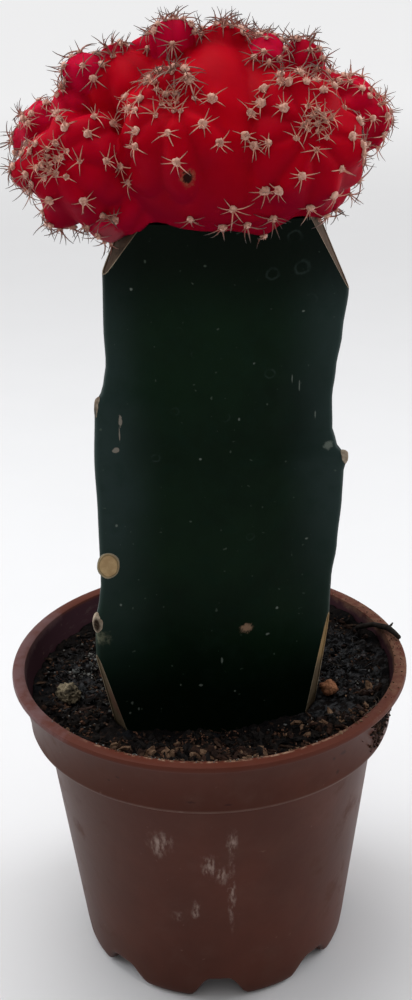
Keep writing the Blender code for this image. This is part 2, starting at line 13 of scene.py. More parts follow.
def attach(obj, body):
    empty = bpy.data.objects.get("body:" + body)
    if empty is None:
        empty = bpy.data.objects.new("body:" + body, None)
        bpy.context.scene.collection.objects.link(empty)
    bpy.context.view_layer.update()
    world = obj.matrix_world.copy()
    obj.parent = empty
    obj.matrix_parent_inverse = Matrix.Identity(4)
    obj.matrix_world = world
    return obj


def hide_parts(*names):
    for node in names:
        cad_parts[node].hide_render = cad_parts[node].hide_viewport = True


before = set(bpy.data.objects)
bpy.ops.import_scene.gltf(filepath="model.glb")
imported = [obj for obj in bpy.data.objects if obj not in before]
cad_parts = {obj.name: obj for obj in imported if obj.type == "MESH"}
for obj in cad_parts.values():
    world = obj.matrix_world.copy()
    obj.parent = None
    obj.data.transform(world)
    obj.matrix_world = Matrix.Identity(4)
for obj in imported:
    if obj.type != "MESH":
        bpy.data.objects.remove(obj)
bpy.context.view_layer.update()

# A grafted moon cactus in its nursery pot. The dictionaries give sizes in millimetres and angles in degrees.
mm = 0.001


def newMesh(name, bm, *materials):
    mesh = bpy.data.meshes.new(name)
    bm.to_mesh(mesh)
    bm.free()
    for material in materials:
        mesh.materials.append(material)
    return mesh


def newPiece(name, bm, *materials):
    piece = bpy.data.objects.new(name, newMesh(name, bm, *materials))
    bpy.context.scene.collection.objects.link(piece)
    return piece


def applyModifiers(piece):
    graph = bpy.context.evaluated_depsgraph_get()
    baked = bpy.data.meshes.new_from_object(piece.evaluated_get(graph))
    piece.modifiers.clear()
    piece.data = baked


def dress(piece, slot, *nodes):
    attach(piece, "root")
    if nodes:
        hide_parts(*nodes)
    print("made", piece.name, len(piece.data.polygons), "faces")


def cutAway(piece, cutter, solver="EXACT"):
    step = piece.modifiers.new("cut", "BOOLEAN")
    step.operation = "DIFFERENCE"
    step.solver = solver
    step.object = cutter
    applyModifiers(piece)
    bpy.data.objects.remove(cutter)


def stampAll(name, placings):
    # one piece from many placed copies of a few small shapes
    base = bpy.data.objects.new(name, bpy.data.meshes.new(name))
    copies = [base]
    bpy.context.scene.collection.objects.link(base)
    for shape, matrix in placings:
        copy = bpy.data.objects.new("copy", shape)
        copy.matrix_world = matrix
        bpy.context.scene.collection.objects.link(copy)
        copies.append(copy)
    bpy.context.view_layer.update()
    with bpy.context.temp_override(active_object=base, object=base, selected_editable_objects=copies,
                                   selected_objects=copies):
        bpy.ops.object.join()
    return base


def facingMatrix(point, facing, turn=0.0):
    # a place whose own up is the way that the surface faces
    tilt = facing.to_track_quat("Z", "Y").to_matrix().to_4x4()
    return Matrix.Translation(point) @ tilt @ Matrix.Rotation(turn, 4, "Z")


# Camera and studio

camera = {
    "place": (0.1, -202.5, 169.5),
    "pitch": 23.66,
    "roll": -1.37,
    "lens": 50.4,
    "picture": (412, 1000),
}


def setCamera(facts):
    pitch, roll = radians(facts["pitch"]), radians(facts["roll"])
    ahead = Vector((0, math.cos(pitch), -math.sin(pitch)))
    above = Vector((0, math.sin(pitch), math.cos(pitch)))
    right = Vector((1, 0, 0))
    rolledRight = math.cos(roll) * right + math.sin(roll) * above
    rolledAbove = math.cos(roll) * above - math.sin(roll) * right
    data = bpy.data.cameras.new("camera")
    data.lens = facts["lens"]
    data.clip_start = 0.01
    item = bpy.data.objects.new("camera", data)
    matrix = Matrix((rolledRight, rolledAbove, -ahead)).transposed().to_4x4()
    matrix.translation = Vector(facts["place"]) * mm
    item.matrix_world = matrix
    bpy.context.scene.collection.objects.link(item)
    bpy.context.scene.camera = item


studio = {
    "floorTint": (0.72, 0.72, 0.73), "floorSize": 8000, "floorDrop": 0.1, "lampAim": (0, 0, 80),
    # the sky's strength straight up, at the horizon behind and at the sides, and in front
    "skyAbove": 0.80, "skyLevel": 0.40, "skyFront": 0.06,
    # name: place, width, height, power, tint
    "lamps": {
        "topLamp": ((-60, 60, 520), 320, 320, 1.25, (1.0, 0.99, 0.97)),
        "leftLamp": ((-420, 120, 210), 240, 380, 1.15, (0.93, 0.96, 1.0)),
        "rightLamp": ((430, 120, 210), 240, 360, 1.15, (0.95, 0.97, 1.0)),
    },
}


def setStudio(facts):
    world = bpy.data.worlds.new("studio")
    bpy.context.scene.world = world
    world.use_nodes = True
    tree = world.node_tree
    direction = put(tree, "SeparateXYZ", {"Vector": put(tree, "TexCoord").outputs["Generated"]})
    behind = put(tree, "MapRange", {"Value": direction.outputs["Y"], "From Min": -1.0, "From Max": 0.4,
                                    "To Min": facts["skyFront"], "To Max": facts["skyLevel"]})
    above = put(tree, "MapRange", {"Value": direction.outputs["Z"], "From Min": 0.15, "From Max": 1.0,
                                   "To Min": behind.outputs["Result"], "To Max": facts["skyAbove"]})
    tree.links.new(above.outputs["Result"], tree.nodes["Background"].inputs["Strength"])
    tree.nodes["Background"].inputs["Color"].default_value = (1, 1, 1, 1)
    for name, (place, width, height, power, tint) in facts["lamps"].items():
        data = bpy.data.lights.new(name, "AREA")
        data.shape = "RECTANGLE"
        data.size, data.size_y = width * mm, height * mm
        data.energy = power
        data.color = tint
        lamp = bpy.data.objects.new(name, data)
        lamp.location = Vector(place) * mm
        aim = Vector(facts["lampAim"]) * mm - lamp.location
        lamp.rotation_euler = aim.to_track_quat("-Z", "Y").to_euler()
        bpy.context.scene.collection.objects.link(lamp)
    bm = bmesh.new()
    bmesh.ops.create_grid(bm, x_segments=8, y_segments=8, size=facts["floorSize"] * mm)
    bmesh.ops.translate(bm, verts=bm.verts, vec=(0, 0, -facts["floorDrop"] * mm))
    floor = newPiece("floor", bm, floorPaint(facts["floorTint"]))
    print("studio is set")


# Shader nodes

def feed(tree, node, key, value):
    # a socket is linked and a plain value is set
    if isinstance(value, bpy.types.NodeSocket):
        tree.links.new(value, node.inputs[key])
    else:
        node.inputs[key].default_value = value


def put(tree, kind, values=None, **options):
    node = tree.nodes.new("ShaderNode" + kind)
    for key, value in options.items():
        setattr(node, key, value)
    for key, value in (values or {}).items():
        feed(tree, node, key, value)
    return node


def noiseOn(tree, vector, scale, detail, roughness=0.5):
    facts = {"Vector": vector, "Scale": scale, "Detail": detail, "Roughness": roughness}
    return put(tree, "TexNoise", facts).outputs["Fac"]


def spread(tree, value, low, high, start=0.0, end=1.0):
    facts = {"Value": value, "From Min": low, "From Max": high, "To Min": start, "To Max": end}
    return put(tree, "MapRange", facts, interpolation_type="SMOOTHSTEP").outputs["Result"]


def combine(tree, operation, first, *others, **options):
    for other in others:
        first = put(tree, "Math", {0: first, 1: other}, operation=operation, **options).outputs[0]
    return first


def multiply(tree, *values):
    return combine(tree, "MULTIPLY", *values)


def strongest(tree, masks):
    return combine(tree, "MAXIMUM", *masks)


def stretch(tree, vector, factors):
    return put(tree, "VectorMath", {0: vector, 1: factors}, operation="MULTIPLY").outputs[0]


def shift(tree, vector, centre):
    return put(tree, "VectorMath", {0: vector, 1: centre}, operation="SUBTRACT").outputs[0]


def reachOf(tree, vector):
    return put(tree, "VectorMath", {0: vector}, operation="LENGTH").outputs["Value"]


def newGroup(name, vectors, numbers):
    # a node group that puts out one mask
    group = bpy.data.node_groups.new(name, "ShaderNodeTree")
    for kind, labels in (("Vector", vectors), ("Float", numbers)):
        for label in labels:
            group.interface.new_socket(name=label, in_out="INPUT", socket_type="NodeSocket" + kind)
    group.interface.new_socket(name="Mask", in_out="OUTPUT", socket_type="NodeSocketFloat")
    return group, group.nodes.new("NodeGroupInput").outputs, group.nodes.new("NodeGroupOutput").inputs["Mask"]


def makeMottleGroup():
    # soft patches: noise whose span between Low and High becomes 0 to 1
    group, given, mask = newGroup("mottle", ["Vector"], ["Scale", "Detail", "Low", "High"])
    cloud = noiseOn(group, given["Vector"], given["Scale"], given["Detail"], 0.6)
    group.links.new(spread(group, cloud, given["Low"], given["High"]), mask)
    return group


def makeMarkGroup():
    # one mark on the surface: an oval about Centre, broken up by noise
    group, given, mask = newGroup("mark", ["Vector", "Centre", "Shrink"], ["Grain", "Ragged", "Solid"])
    oval = reachOf(group, stretch(group, shift(group, given["Vector"], given["Centre"]), given["Shrink"]))
    cloud = noiseOn(group, given["Vector"], given["Grain"], 5.0, 0.7)
    rag = multiply(group, combine(group, "SUBTRACT", cloud, 0.5), given["Ragged"])
    edge = spread(group, combine(group, "ADD", oval, rag), given["Solid"], 1.0, 1.0, 0.0)
    group.links.new(edge, mask)
    return group


mottleGroup = makeMottleGroup()
markGroup = makeMarkGroup()


def mottle(tree, vector, scale, low, high, detail=4.0):
    facts = {"Vector": vector, "Scale": scale, "Detail": detail, "Low": low, "High": high}
    return put(tree, "Group", facts, node_tree=mottleGroup).outputs["Mask"]


def mark(tree, vector, centre, size, grain=900.0, ragged=1.0, solid=0.7):
    facts = {"Vector": vector, "Centre": [c * mm for c in centre], "Shrink": [1 / (s * mm) for s in size],
             "Grain": grain, "Ragged": ragged, "Solid": solid}
    return put(tree, "Group", facts, node_tree=markGroup).outputs["Mask"]


def fadesOf(tree, along, table):
    # for each name in a table of fades, one mask that grows from its start to where it is full
    return {name: spread(tree, along[axis], start * mm, full * mm, *strength)
            for name, (start, axis, full, *strength) in table.items()}


def marksOf(tree, vector, table):
    # for each name in a table of marks, one mask of all its marks
    return {name: strongest(tree, [mark(tree, vector, *facts) for facts in marks])
            for name, marks in table.items()}


def blendColour(tree, share, one, other):
    node = put(tree, "Mix", {"Factor": share}, data_type="RGBA")
    for index, value in ((6, one), (7, other)):
        feed(tree, node, index, value if isinstance(value, bpy.types.NodeSocket) else (*value, 1))
    return node.outputs[2]


def cover(tree, colour, masks, coats):
    # each coat lies over the ones before it, where its mask is
    for name, (share, tint) in coats.items():
        colour = blendColour(tree, multiply(tree, masks[name], share), colour, tint)
    return colour


def startMaterial(name, **sockets):
    material = bpy.data.materials.new(name)
    material.use_nodes = True
    tree = material.node_tree
    shader = tree.nodes["Principled BSDF"]
    for key, value in sockets.items():
        shader.inputs[key.replace("_", " ")].default_value = value
    where = put(tree, "TexCoord").outputs["Object"]
    return material, tree, shader, where


def roughenBy(tree, shader, height, distance, strength=1.0):
    bump = put(tree, "Bump", {"Height": height, "Distance": distance * mm, "Strength": strength})
    feed(tree, shader, "Normal", bump.outputs["Normal"])


def floorPaint(tint):
    material, tree, shader, where = startMaterial("floorPaint", Roughness=0.9, Emission_Strength=0.42)
    # it fades to white with distance
    far = blendColour(tree, spread(tree, reachOf(tree, where), 0.15, 1.1), (0, 0, 0), (1, 1, 1))
    feed(tree, shader, "Emission Color", far)
    faint = mottle(tree, where, 30.0, 0.2, 0.8)
    feed(tree, shader, "Base Color", blendColour(tree, faint, tint, [c * 0.985 for c in tint]))
    return material


# Pot

pot = {
    "rimRadius": 32.5, "height": 52.6, "wall": 0.8,
    "lipWidth": 1.3, "lipThickness": 1.1,
    "collarFootRadius": 29.8, "collarFootZ": 42.4, "collarFlare": 1.4, "collarRise": 8.9,
    "bodyTopRadius": 27.5, "footRadius": 22.3, "skirt": 2.2,
    "floorUnderside": 4.6, "floor": 1.0,
    "notches": 8, "notchHeights": (4.5, 3.5), "notchTopWidth": 2.8, "notchFootWidth": 10.0, "firstNotch": -89,
    "notchedTo": 4.2, "notchFade": 5.4, "notchFlare": 0.12,
    "drainHoles": 4, "drainRadius": 2.2, "drainCircle": 12.0, "drainZ": 5.1,
    "steps": 300,
    "plastic": [(0.066, 0.0200, 0.0125), (0.084, 0.0250, 0.0155)],
}

# where a mask fades in, along what, and where it is full
potFades = {
    "shadedLeftSide": (-6, "X", -26), "lip": (51.3, "Z", 52.2), "front": (-20, "Y", -28),
    "innerWall": (22.9, "slant", 22.6), "underRim": (52.4, "Z", 51.8), "overLedge": (43.2, "Z", 43.6),
    "seamFoot": (42.35, "Z", 42.60), "seamTop": (43.30, "Z", 42.95),
    "lipInside": (30.6, "radius", 30.8), "lipMiddle": (31.3, "radius", 31.0),
}

# centre, half sizes, grain, how ragged, how solid
potMarks = {
    "chalk": [
        ((-8.3, -25.3, 34.2), (2.4, 3.0, 3.4), 420.0, 1.6, 0.0),
        ((2.9, -26.6, 34.5), (1.2, 3.0, 4.2), 700.0, 1.4, 0.0),
        ((2.7, -25.2, 24.0), (0.8, 3.0, 10.0), 900.0, 1.2, 0.0),
        ((-0.6, -26.1, 30.0), (2.0, 3.0, 3.4), 520.0, 1.6, 0.0),
        ((1.2, -26.0, 28.0), (1.6, 3.0, 2.6), 520.0, 1.6, 0.0),
        ((-3.1, -24.8, 20.5), (0.9, 3.0, 2.4), 700.0, 1.4, 0.0),
        ((-6.0, -24.0, 18.6), (1.1, 3.0, 1.5), 700.0, 1.6, 0.0),
    ],
    "specks": [
        ((-14.1, -27.2, 47.7), (0.45, 1.5, 0.3), 1500.0, 1.8, 0.3),
        ((20.2, -23.9, 48.6), (0.9, 1.8, 0.55), 1100.0, 1.8, 0.4),
        ((18.6, -24.9, 48.3), (0.35, 1.5, 0.5), 1500.0, 1.8, 0.4),
        ((-15.6, -26.3, 46.6), (0.3, 1.5, 0.25), 1500.0, 1.8, 0.4),
        ((-3.4, -30.0, 44.9), (0.9, 1.5, 0.3), 1500.0, 2.2, 0.3),
        ((2.3, -30.0, 44.3), (0.7, 1.5, 0.25), 1500.0, 2.2, 0.3),
        ((19.3, -23.3, 45.1), (0.35, 1.5, 0.8), 1500.0, 1.8, 0.3),
    ],
    "dust": [((27.0, 4.0, 52.4), (12.0, 26.0, 1.6), 300.0, 1.2, 0.3)],
    # painted sheen: greyish on the top of the lip at the left
    "filmAndSheen": [((-28.0, -4.0, 52.4), (13.0, 26.0, 1.8), 200.0, 1.2, 0.5)],
    "cake": [((26.6, -14.6, 46.6), (3.2, 4.0, 4.6), 700.0, 1.6, 0.5)],
}

# what lies over the plastic, from the first coat to the last: how thick, and its colour
potCoats = {
    "haze": (0.16, (0.14, 0.092, 0.072)),
    "shadedLeftSide": (0.70, (0.050, 0.0170, 0.0095)),  # painted shade: browner and deeper on the left, the side away from the light
    "lip": (0.75, (0.100, 0.027, 0.017)),  # painted light: the lip is lighter and redder, with light from above shining through the plastic
    "innerWallShade": (0.85, (0.044, 0.018, 0.027)),
    "tideLines": (0.6, (0.10, 0.062, 0.058)),
    "chalk": (0.90, (0.32, 0.235, 0.20)),
    "specks": (0.7, (0.03, 0.010, 0.008)),
    "scatter": (0.28, (0.20, 0.13, 0.105)),
    "seamHighlight": (0.35, (0.18, 0.12, 0.095)),
    "dust": (0.80, (0.185, 0.100, 0.066)),
    "filmAndSheen": (0.65, (0.150, 0.090, 0.094)),
    "sand": (0.75, (0.34, 0.22, 0.15)),
    "cake": (0.9, (0.042, 0.022, 0.020)),
}

# how far these coats dull the plastic
potDulling = {"haze": 0.5, "chalk": 0.85, "cake": 0.9, "dust": 0.9, "innerWallShade": 0.7}


def potPlastic():
    material, tree, shader, where = startMaterial("potPlastic", Roughness=0.45, Specular_IOR_Level=0.07)
    parts = put(tree, "SeparateXYZ", {"Vector": where}).outputs
    radius = reachOf(tree, stretch(tree, where, (1, 1, 0)))
    # how far a point is out from the middle of the sloping collar wall
    slant = put(tree, "Math", {0: parts["Z"], 1: -0.157, 2: radius}, operation="MULTIPLY_ADD").outputs[0]
    along = {"X": parts["X"], "Y": parts["Y"], "Z": parts["Z"], "radius": radius, "slant": slant}
    masks = {**fadesOf(tree, along, potFades), **marksOf(tree, where, potMarks)}

    def broken(name, vector, scale, low, high, detail):
        return multiply(tree, masks[name], mottle(tree, vector, scale, low, high, detail))

    masks["haze"] = mottle(tree, where, 180.0, 0.45, 0.8, 8.0)  # fine dust
    masks["scatter"] = mottle(tree, where, 620.0, 0.71, 0.78, 2.0)  # stray pale specks all over
    # painted shade: the inner wall above the mix is darker where little light reaches it
    masks["innerWallShade"] = multiply(tree, masks["innerWall"], masks["underRim"], masks["overLedge"])
    masks["seamHighlight"] = multiply(tree, masks["seamFoot"], masks["seamTop"])  # painted highlight: a pale line where the collar meets the body
    masks["sand"] = multiply(tree, masks["lipInside"], masks["lipMiddle"], masks["front"], masks["lip"])
    masks["tideLines"] = broken("innerWallShade", stretch(tree, where, (1, 1, 3)), 320.0, 0.56, 0.72, 8.0)
    # dried drops leave the chalk in wisps that run downwards
    masks["chalk"] = broken("chalk", stretch(tree, where, (1, 1, 0.3)), 1500.0, 0.40, 0.66, 6.0)
    masks["seamHighlight"] = broken("seamHighlight", where, 240.0, 0.25, 0.6, 4.0)
    masks["sand"] = broken("sand", where, 900.0, 0.45, 0.62, 6.0)
    masks["dust"] = broken("dust", where, 700.0, 0.34, 0.6, 8.0)
    masks["filmAndSheen"] = broken("filmAndSheen", where, 350.0, 0.25, 0.6, 6.0)
    colour = blendColour(tree, mottle(tree, where, 60.0, 0.35, 0.7), *pot["plastic"])
    feed(tree, shader, "Base Color", cover(tree, colour, masks, potCoats))
    dull = strongest(tree, [multiply(tree, masks[name], share) for name, share in potDulling.items()])
    feed(tree, shader, "Roughness", spread(tree, dull, 0.0, 1.0, 0.40, 0.88))
    roughenBy(tree, shader, noiseOn(tree, where, 500.0, 6.0), 0.05, 0.5)
    return material


def potProfile():
    p = pot
    innerTop = p["rimRadius"] - p["lipWidth"] - p["wall"]
    collarTop = p["rimRadius"] - p["lipWidth"]
    floorTop = p["floorUnderside"] + p["floor"]
    lipFoot = p["height"] - p["lipThickness"]
    rim, top, ledge = p["rimRadius"], p["height"], p["collarFootZ"]
    return [
        # the floor and the inner wall
        (0.0, floorTop),
        (p["footRadius"] - 1.2, floorTop),
        (p["footRadius"] - 0.5, floorTop + 0.3),
        (p["footRadius"] - 0.3, floorTop + 1.0),
        (p["bodyTopRadius"] - p["wall"], ledge - 0.6),
        (p["bodyTopRadius"] - p["wall"] + 0.15, ledge - 0.25),
        (p["collarFootRadius"] - p["wall"] - 0.2, ledge + 0.35),
        (p["collarFootRadius"] - p["wall"], ledge + 0.7),
        # the lip
        (innerTop, top - 0.5),
        (innerTop + 0.1, top - 0.15),
        (innerTop + 0.4, top),
        (rim - 0.5, top),
        (rim - 0.15, top - 0.12),
        (rim, top - 0.45),
        (rim, lipFoot + 0.3),
        (rim - 0.15, lipFoot + 0.05),
        (collarTop + 0.25, lipFoot - 0.05),
        (collarTop, lipFoot - 0.4),
        # the collar's rolled foot and the step below it
        (p["collarFootRadius"] + 0.12, ledge + 1.15),
        (p["collarFootRadius"] + 0.22, ledge + 0.85),
        (p["collarFootRadius"] + 0.05, ledge + 0.35),
        (p["collarFootRadius"] - 0.4, ledge - 0.02),
        (p["bodyTopRadius"] + 0.3, ledge - 0.3),
        (p["bodyTopRadius"], ledge - 0.75),
        # the rounded foot, the skirt and the underside
        (p["footRadius"] + 0.82, 5.4),
        (p["footRadius"] + 0.62, 3.7),
        (p["footRadius"] + 0.42, 2.3),
        (p["footRadius"] + 0.28, 1.4),
        (p["footRadius"] + 0.04, 0.7),
        (p["footRadius"] - 0.36, 0.22),
        (p["footRadius"] - 0.85, 0.0),
        (p["footRadius"] - p["skirt"] + 0.3, 0.0),
        (p["footRadius"] - p["skirt"], 0.25),
        (p["footRadius"] - p["skirt"], p["floorUnderside"]),
        (0.0, p["floorUnderside"]),
    ]


def spinProfile(bm, profile, steps):
    corners = [bm.verts.new((radius * mm, 0, height * mm)) for radius, height in profile]
    edges = [bm.edges.new(pair) for pair in zip(corners[:-1], corners[1:])]
    bmesh.ops.spin(bm, geom=corners + edges, cent=(0, 0, 0), axis=(0, 0, 1), angle=math.tau, steps=steps,
                   use_merge=True)
    bmesh.ops.remove_doubles(bm, verts=bm.verts, dist=0.002 * mm)
    bmesh.ops.recalc_face_normals(bm, faces=bm.faces)


def notchLift(angle):
    # the notches are high and low in turn
    spacing = math.tau / pot["notches"]
    turned = angle - radians(pot["firstNotch"]) + spacing / 2
    across = abs(turned % spacing - spacing / 2) * pot["footRadius"]
    height = pot["notchHeights"][math.floor(turned / spacing) % 2]
    inner, outer = pot["notchTopWidth"] / 2, pot["notchFootWidth"] / 2
    share = max(0.0, min(1.0, (outer - across) / (outer - inner)))
    return height * share * share * (3 - 2 * share)


def buildPot():
    bm = bmesh.new()
    spinProfile(bm, potProfile(), pot["steps"])
    for corner in bm.verts:
        radius = math.hypot(corner.co.x, corner.co.y) / mm
        height = corner.co.z / mm
        if height < pot["notchedTo"] and radius > pot["footRadius"] - pot["skirt"] - 0.2:
            # the notch's edge moves up and, with the slope of the wall, outwards
            lift = notchLift(math.atan2(corner.co.y, corner.co.x)) * (1 - height / pot["notchFade"])
            corner.co.z = (height + lift) * mm
            corner.co.xy *= 1 + pot["notchFlare"] * lift / radius
    shell = newPiece("potShell", bm, potPlastic())
    for index in range(pot["drainHoles"]):
        angle = math.tau * (index + 0.5) / pot["drainHoles"]
        bm = bmesh.new()
        bmesh.ops.create_cone(bm, cap_ends=True, segments=48, radius1=pot["drainRadius"] * mm,
                              radius2=pot["drainRadius"] * mm, depth=4 * mm)
        x, y = pot["drainCircle"] * math.cos(angle), pot["drainCircle"] * math.sin(angle)
        bmesh.ops.translate(bm, verts=bm.verts, vec=Vector((x, y, pot["drainZ"])) * mm)
        cutAway(shell, newPiece("drain", bm))
    shell.data.shade_smooth()
    shell.data.set_sharp_from_angle(angle=radians(38))
    dress(shell, "pot_plastic", "pot")


# Stock

stock = {
    "footZ": 24.0, "topZ": 127.0,
    "footAxis": (0.4, 0.2), "topAxis": (2.4, -0.4),
    "middle": (1.4, 0, 0), "faceReach": 11.4, "slicedReach": 14.0,
    "rings": 80,
    # a cut: height of its start, how far inwards, over what height, its turn from the rib
    "ribs": {
        "left": {
            "angle": 212,
            "reach": [(24, 21.2), (50, 21.6), (60, 22.0), (66, 21.9), (69, 21.1), (72, 20.7), (84, 20.8),
                      (92, 21.05), (100.6, 20.7), (103.6, 19.15), (107, 18.6), (112, 18.8), (120, 18.7),
                      (127, 18.6)],
            "topCut": (120.0, 6.0, 8.2, 0), "footCut": (60.0, 3.6, 14.0, 0),
        },
        "right": {
            "angle": 340,
            "reach": [(24, 19.0), (50, 19.1), (66, 19.2), (70, 19.3), (76, 20.0), (84, 20.5), (88.4, 20.6),
                      (90.2, 21.0), (92.4, 19.4), (95, 18.6), (100, 18.4), (104, 18.8), (110, 19.6),
                      (116.4, 20.3), (127, 20.3)],
            "topCut": (116.4, 5.2, 10.4, 8), "footCut": (64.0, 2.8, 17.5, -10),
        },
        "back": {
            "angle": 100,
            "reach": [(24, 20.4), (50, 21.0), (64, 21.8), (70, 22.4), (74, 20.9), (84, 20.7), (96, 21.6),
                      (103, 22.4), (107, 20.8), (116, 20.9), (127, 20.6)],
            "topCut": (116.9, 5.6, 9.4, 0), "footCut": (61.5, 4.6, 16.5, 0),
        },
    },
    # half a rib's outline: distance in from its edge, and half its thickness there
    "outline": [(0.0, 0.0), (0.12, 0.42), (0.35, 0.75), (1.0, 1.12), (2.4, 1.7), (4.6, 2.75)],
    # the root of a rib, which doesn't follow its edge: distance from the axis, and half its thickness
    "root": (12.0, 5.0),
    # on a cut: width of the pale rim, width of the step inside it, and depth of that step
    "corkRim": (0.20, 0.15, 0.14),
    "green": [(0.0011, 0.0062, 0.0022), (0.0032, 0.0135, 0.0048)],
}


def between(table, height):
    height = max(table[0][0], min(table[-1][0], height))
    for (low, value), (high, following) in zip(table[:-1], table[1:]):
        if height <= high:
            share = (height - low) / (high - low)
            return value + (following - value) * share * share * (3 - 2 * share)
    return table[-1][1]


def stockAxis(height):
    share = (height - stock["footZ"]) / (stock["topZ"] - stock["footZ"])
    return Vector(stock["footAxis"]).lerp(Vector(stock["topAxis"]), share)


def wayAt(angle):
    return Vector((math.cos(radians(angle)), math.sin(radians(angle))))


def stockSides():
    # each rib, and the way that the face after it looks
    ribs = sorted(stock["ribs"].values(), key=lambda rib: rib["angle"])
    for rib, following in zip(ribs, ribs[1:] + ribs[:1]):
        yield rib, wayAt(rib["angle"] + ((following["angle"] - rib["angle"]) % 360) / 2)


def ribPoint(rib, height, sunk=0.0, out=0.0):
    # a place on the edge of a rib
    axis = stockAxis(height)
    reach = between(rib["reach"], height) - sunk + out
    return Vector((axis.x, axis.y, height)) + wayAt(rib["angle"]).to_3d() * reach


def insideFaces(offset, margin):
    return all(offset.dot(face) < stock["faceReach"] + margin for _, face in stockSides())


def stockSection(height, grow):
    outline = []
    axis = stockAxis(height)
    for rib, face in stockSides():
        reach = between(rib["reach"], height) + grow
        ahead = wayAt(rib["angle"])
        aside = Vector((-ahead.y, ahead.x))
        half = [(reach - depth, thick + grow * min(1.0, thick)) for depth, thick in stock["outline"]]
        half.append((stock["root"][0], stock["root"][1] + grow))
        outline += [axis + ahead * along - aside * across for along, across in reversed(half[1:])]
        outline += [axis + ahead * along + aside * across for along, across in half]
        outline.append(axis + face * (stock["faceReach"] + grow))
    return outline


def growStock(bm, grow, low, high, rings):
    # one outline drawn up through the stock's heights, ring by ring
    below = stockSection(low, grow)
    ring = [bm.verts.new((point.x * mm, point.y * mm, low * mm)) for point in below]
    edges = [bm.edges.new(pair) for pair in zip(ring, ring[1:] + ring[:1])]
    bmesh.ops.contextual_create(bm, geom=edges)
    for step in range(1, rings + 1):
        height = low + (high - low) * step / rings
        section = stockSection(height, grow)
        grown = bmesh.ops.extrude_edge_only(bm, edges=edges)["geom"]
        for corner in (item for item in grown if isinstance(item, bmesh.types.BMVert)):
            nearest = min(range(len(below)), key=lambda k: (below[k] * mm - corner.co.xy).length_squared)
            corner.co = Vector((section[nearest].x * mm, section[nearest].y * mm, height * mm))
        edges = [item for item in grown if isinstance(item, bmesh.types.BMEdge)]
        edges = [edge for edge in edges if all(abs(v.co.z - height * mm) < 0.01 * mm for v in edge.verts)]
        below = section
    bmesh.ops.contextual_create(bm, geom=edges)
    bmesh.ops.recalc_face_normals(bm, faces=bm.faces)


def sliceRib(bm, rib, key, upwards, grow, corkSlot=None):
    height, inwards, drop, turn = rib[key]
    ahead = wayAt(rib["angle"] + turn).to_3d()
    slope = Vector((-ahead.x * inwards, -ahead.y * inwards, drop if upwards else -drop))
    normal = slope.cross(Vector((-ahead.y, ahead.x, 0.0))).normalized()
    if normal.dot(ahead) < 0:
        normal.negate()
    cut = bmesh.ops.bisect_plane(bm, geom=[*bm.verts, *bm.edges, *bm.faces], plane_no=normal,
                                 plane_co=(ribPoint(rib, height) + normal * grow) * mm, clear_outer=True)
    edges = [item for item in cut["geom_cut"] if isinstance(item, bmesh.types.BMEdge)]
    faces = bmesh.ops.contextual_create(bm, geom=edges)["faces"]
    if corkSlot is None:
        return
    # a pale rim stays round the sunken, darker middle
    rimWidth, stepWidth, sink = stock["corkRim"]
    rim = bmesh.ops.inset_region(bm, faces=faces, thickness=rimWidth * mm, depth=0.0)["faces"]
    for face in rim:
        face.material_index = corkSlot
    for face in faces:
        face.material_index = corkSlot + (1 if upwards else 2)
    bmesh.ops.inset_region(bm, faces=faces, thickness=stepWidth * mm, depth=-sink * mm)


def stockSolid(grow, low, high, rings, corkSlot=None):
    bm = bmesh.new()
    growStock(bm, grow, low, high, rings)
    for rib in stock["ribs"].values():
        sliceRib(bm, rib, "topCut", True, grow, corkSlot)
        sliceRib(bm, rib, "footCut", False, grow, corkSlot)
    bmesh.ops.triangulate(bm, faces=[face for face in bm.faces if len(face.verts) > 4])
    bmesh.ops.recalc_face_normals(bm, faces=bm.faces)
    return bm


# faint broken rings on the front face: centre and radius
waxRings = [
    ((10.2, -8.9, 119.4), 1.2), ((14.5, -8.9, 120.1), 1.4), ((13.4, -8.9, 124.4), 1.3),
    ((15.8, -8.9, 115.3), 1.1), ((9.8, -8.9, 104.7), 0.9), ((6.7, -8.9, 79.0), 0.8),
    ((-1.6, -11.3, 115.3), 0.8), ((3.1, -11.3, 98.8), 0.9), ((-3.2, -11.0, 111.9), 0.7),
    ((-1.0, -11.0, 108.4), 0.7), ((-7.1, -11.0, 92.5), 0.8), ((-4.1, -11.0, 99.7), 0.8),
]

# small pale nicks: centre, half width, half height
paleNicks = [
    ((7.5, -8.9, 106.6), 0.25, 0.25), ((14.7, -8.9, 113.6), 0.25, 0.20), ((15.4, -8.9, 77.4), 0.30, 0.20),
    ((10.8, -8.9, 66.0), 0.25, 0.25), ((-9.7, -11.2, 117.9), 0.25, 0.30), ((-0.6, -11.2, 92.3), 0.30, 0.25),
    ((5.2, -11.2, 98.3), 0.20, 0.30), ((-13.4, -11.2, 81.9), 0.25, 0.25), ((-13.4, -11.2, 68.5), 0.25, 0.25),
    ((14.2, -8.4, 102.0), 0.12, 1.10), ((16.6, -8.4, 97.4), 0.12, 0.90), ((13.1, -8.4, 103.4), 0.10, 0.70),
    ((18.6, -8.4, 92.6), 0.90, 0.75), ((9.3, -9.0, 61.6), 0.45, 0.25), ((2.0, -11.0, 58.2), 0.20, 0.70),
    ((-4.6, -11.0, 53.6), 0.20, 0.30), ((-1.4, -11.0, 53.6), 0.40, 0.25), ((4.0, -11.0, 52.2), 0.20, 0.20),
    ((-12.4, -11.2, 50.8), 0.25, 0.35), ((-11.4, -11.2, 49.6), 0.20, 0.30),
    ((-12.8, -11.2, 49.0), 0.20, 0.25),
]

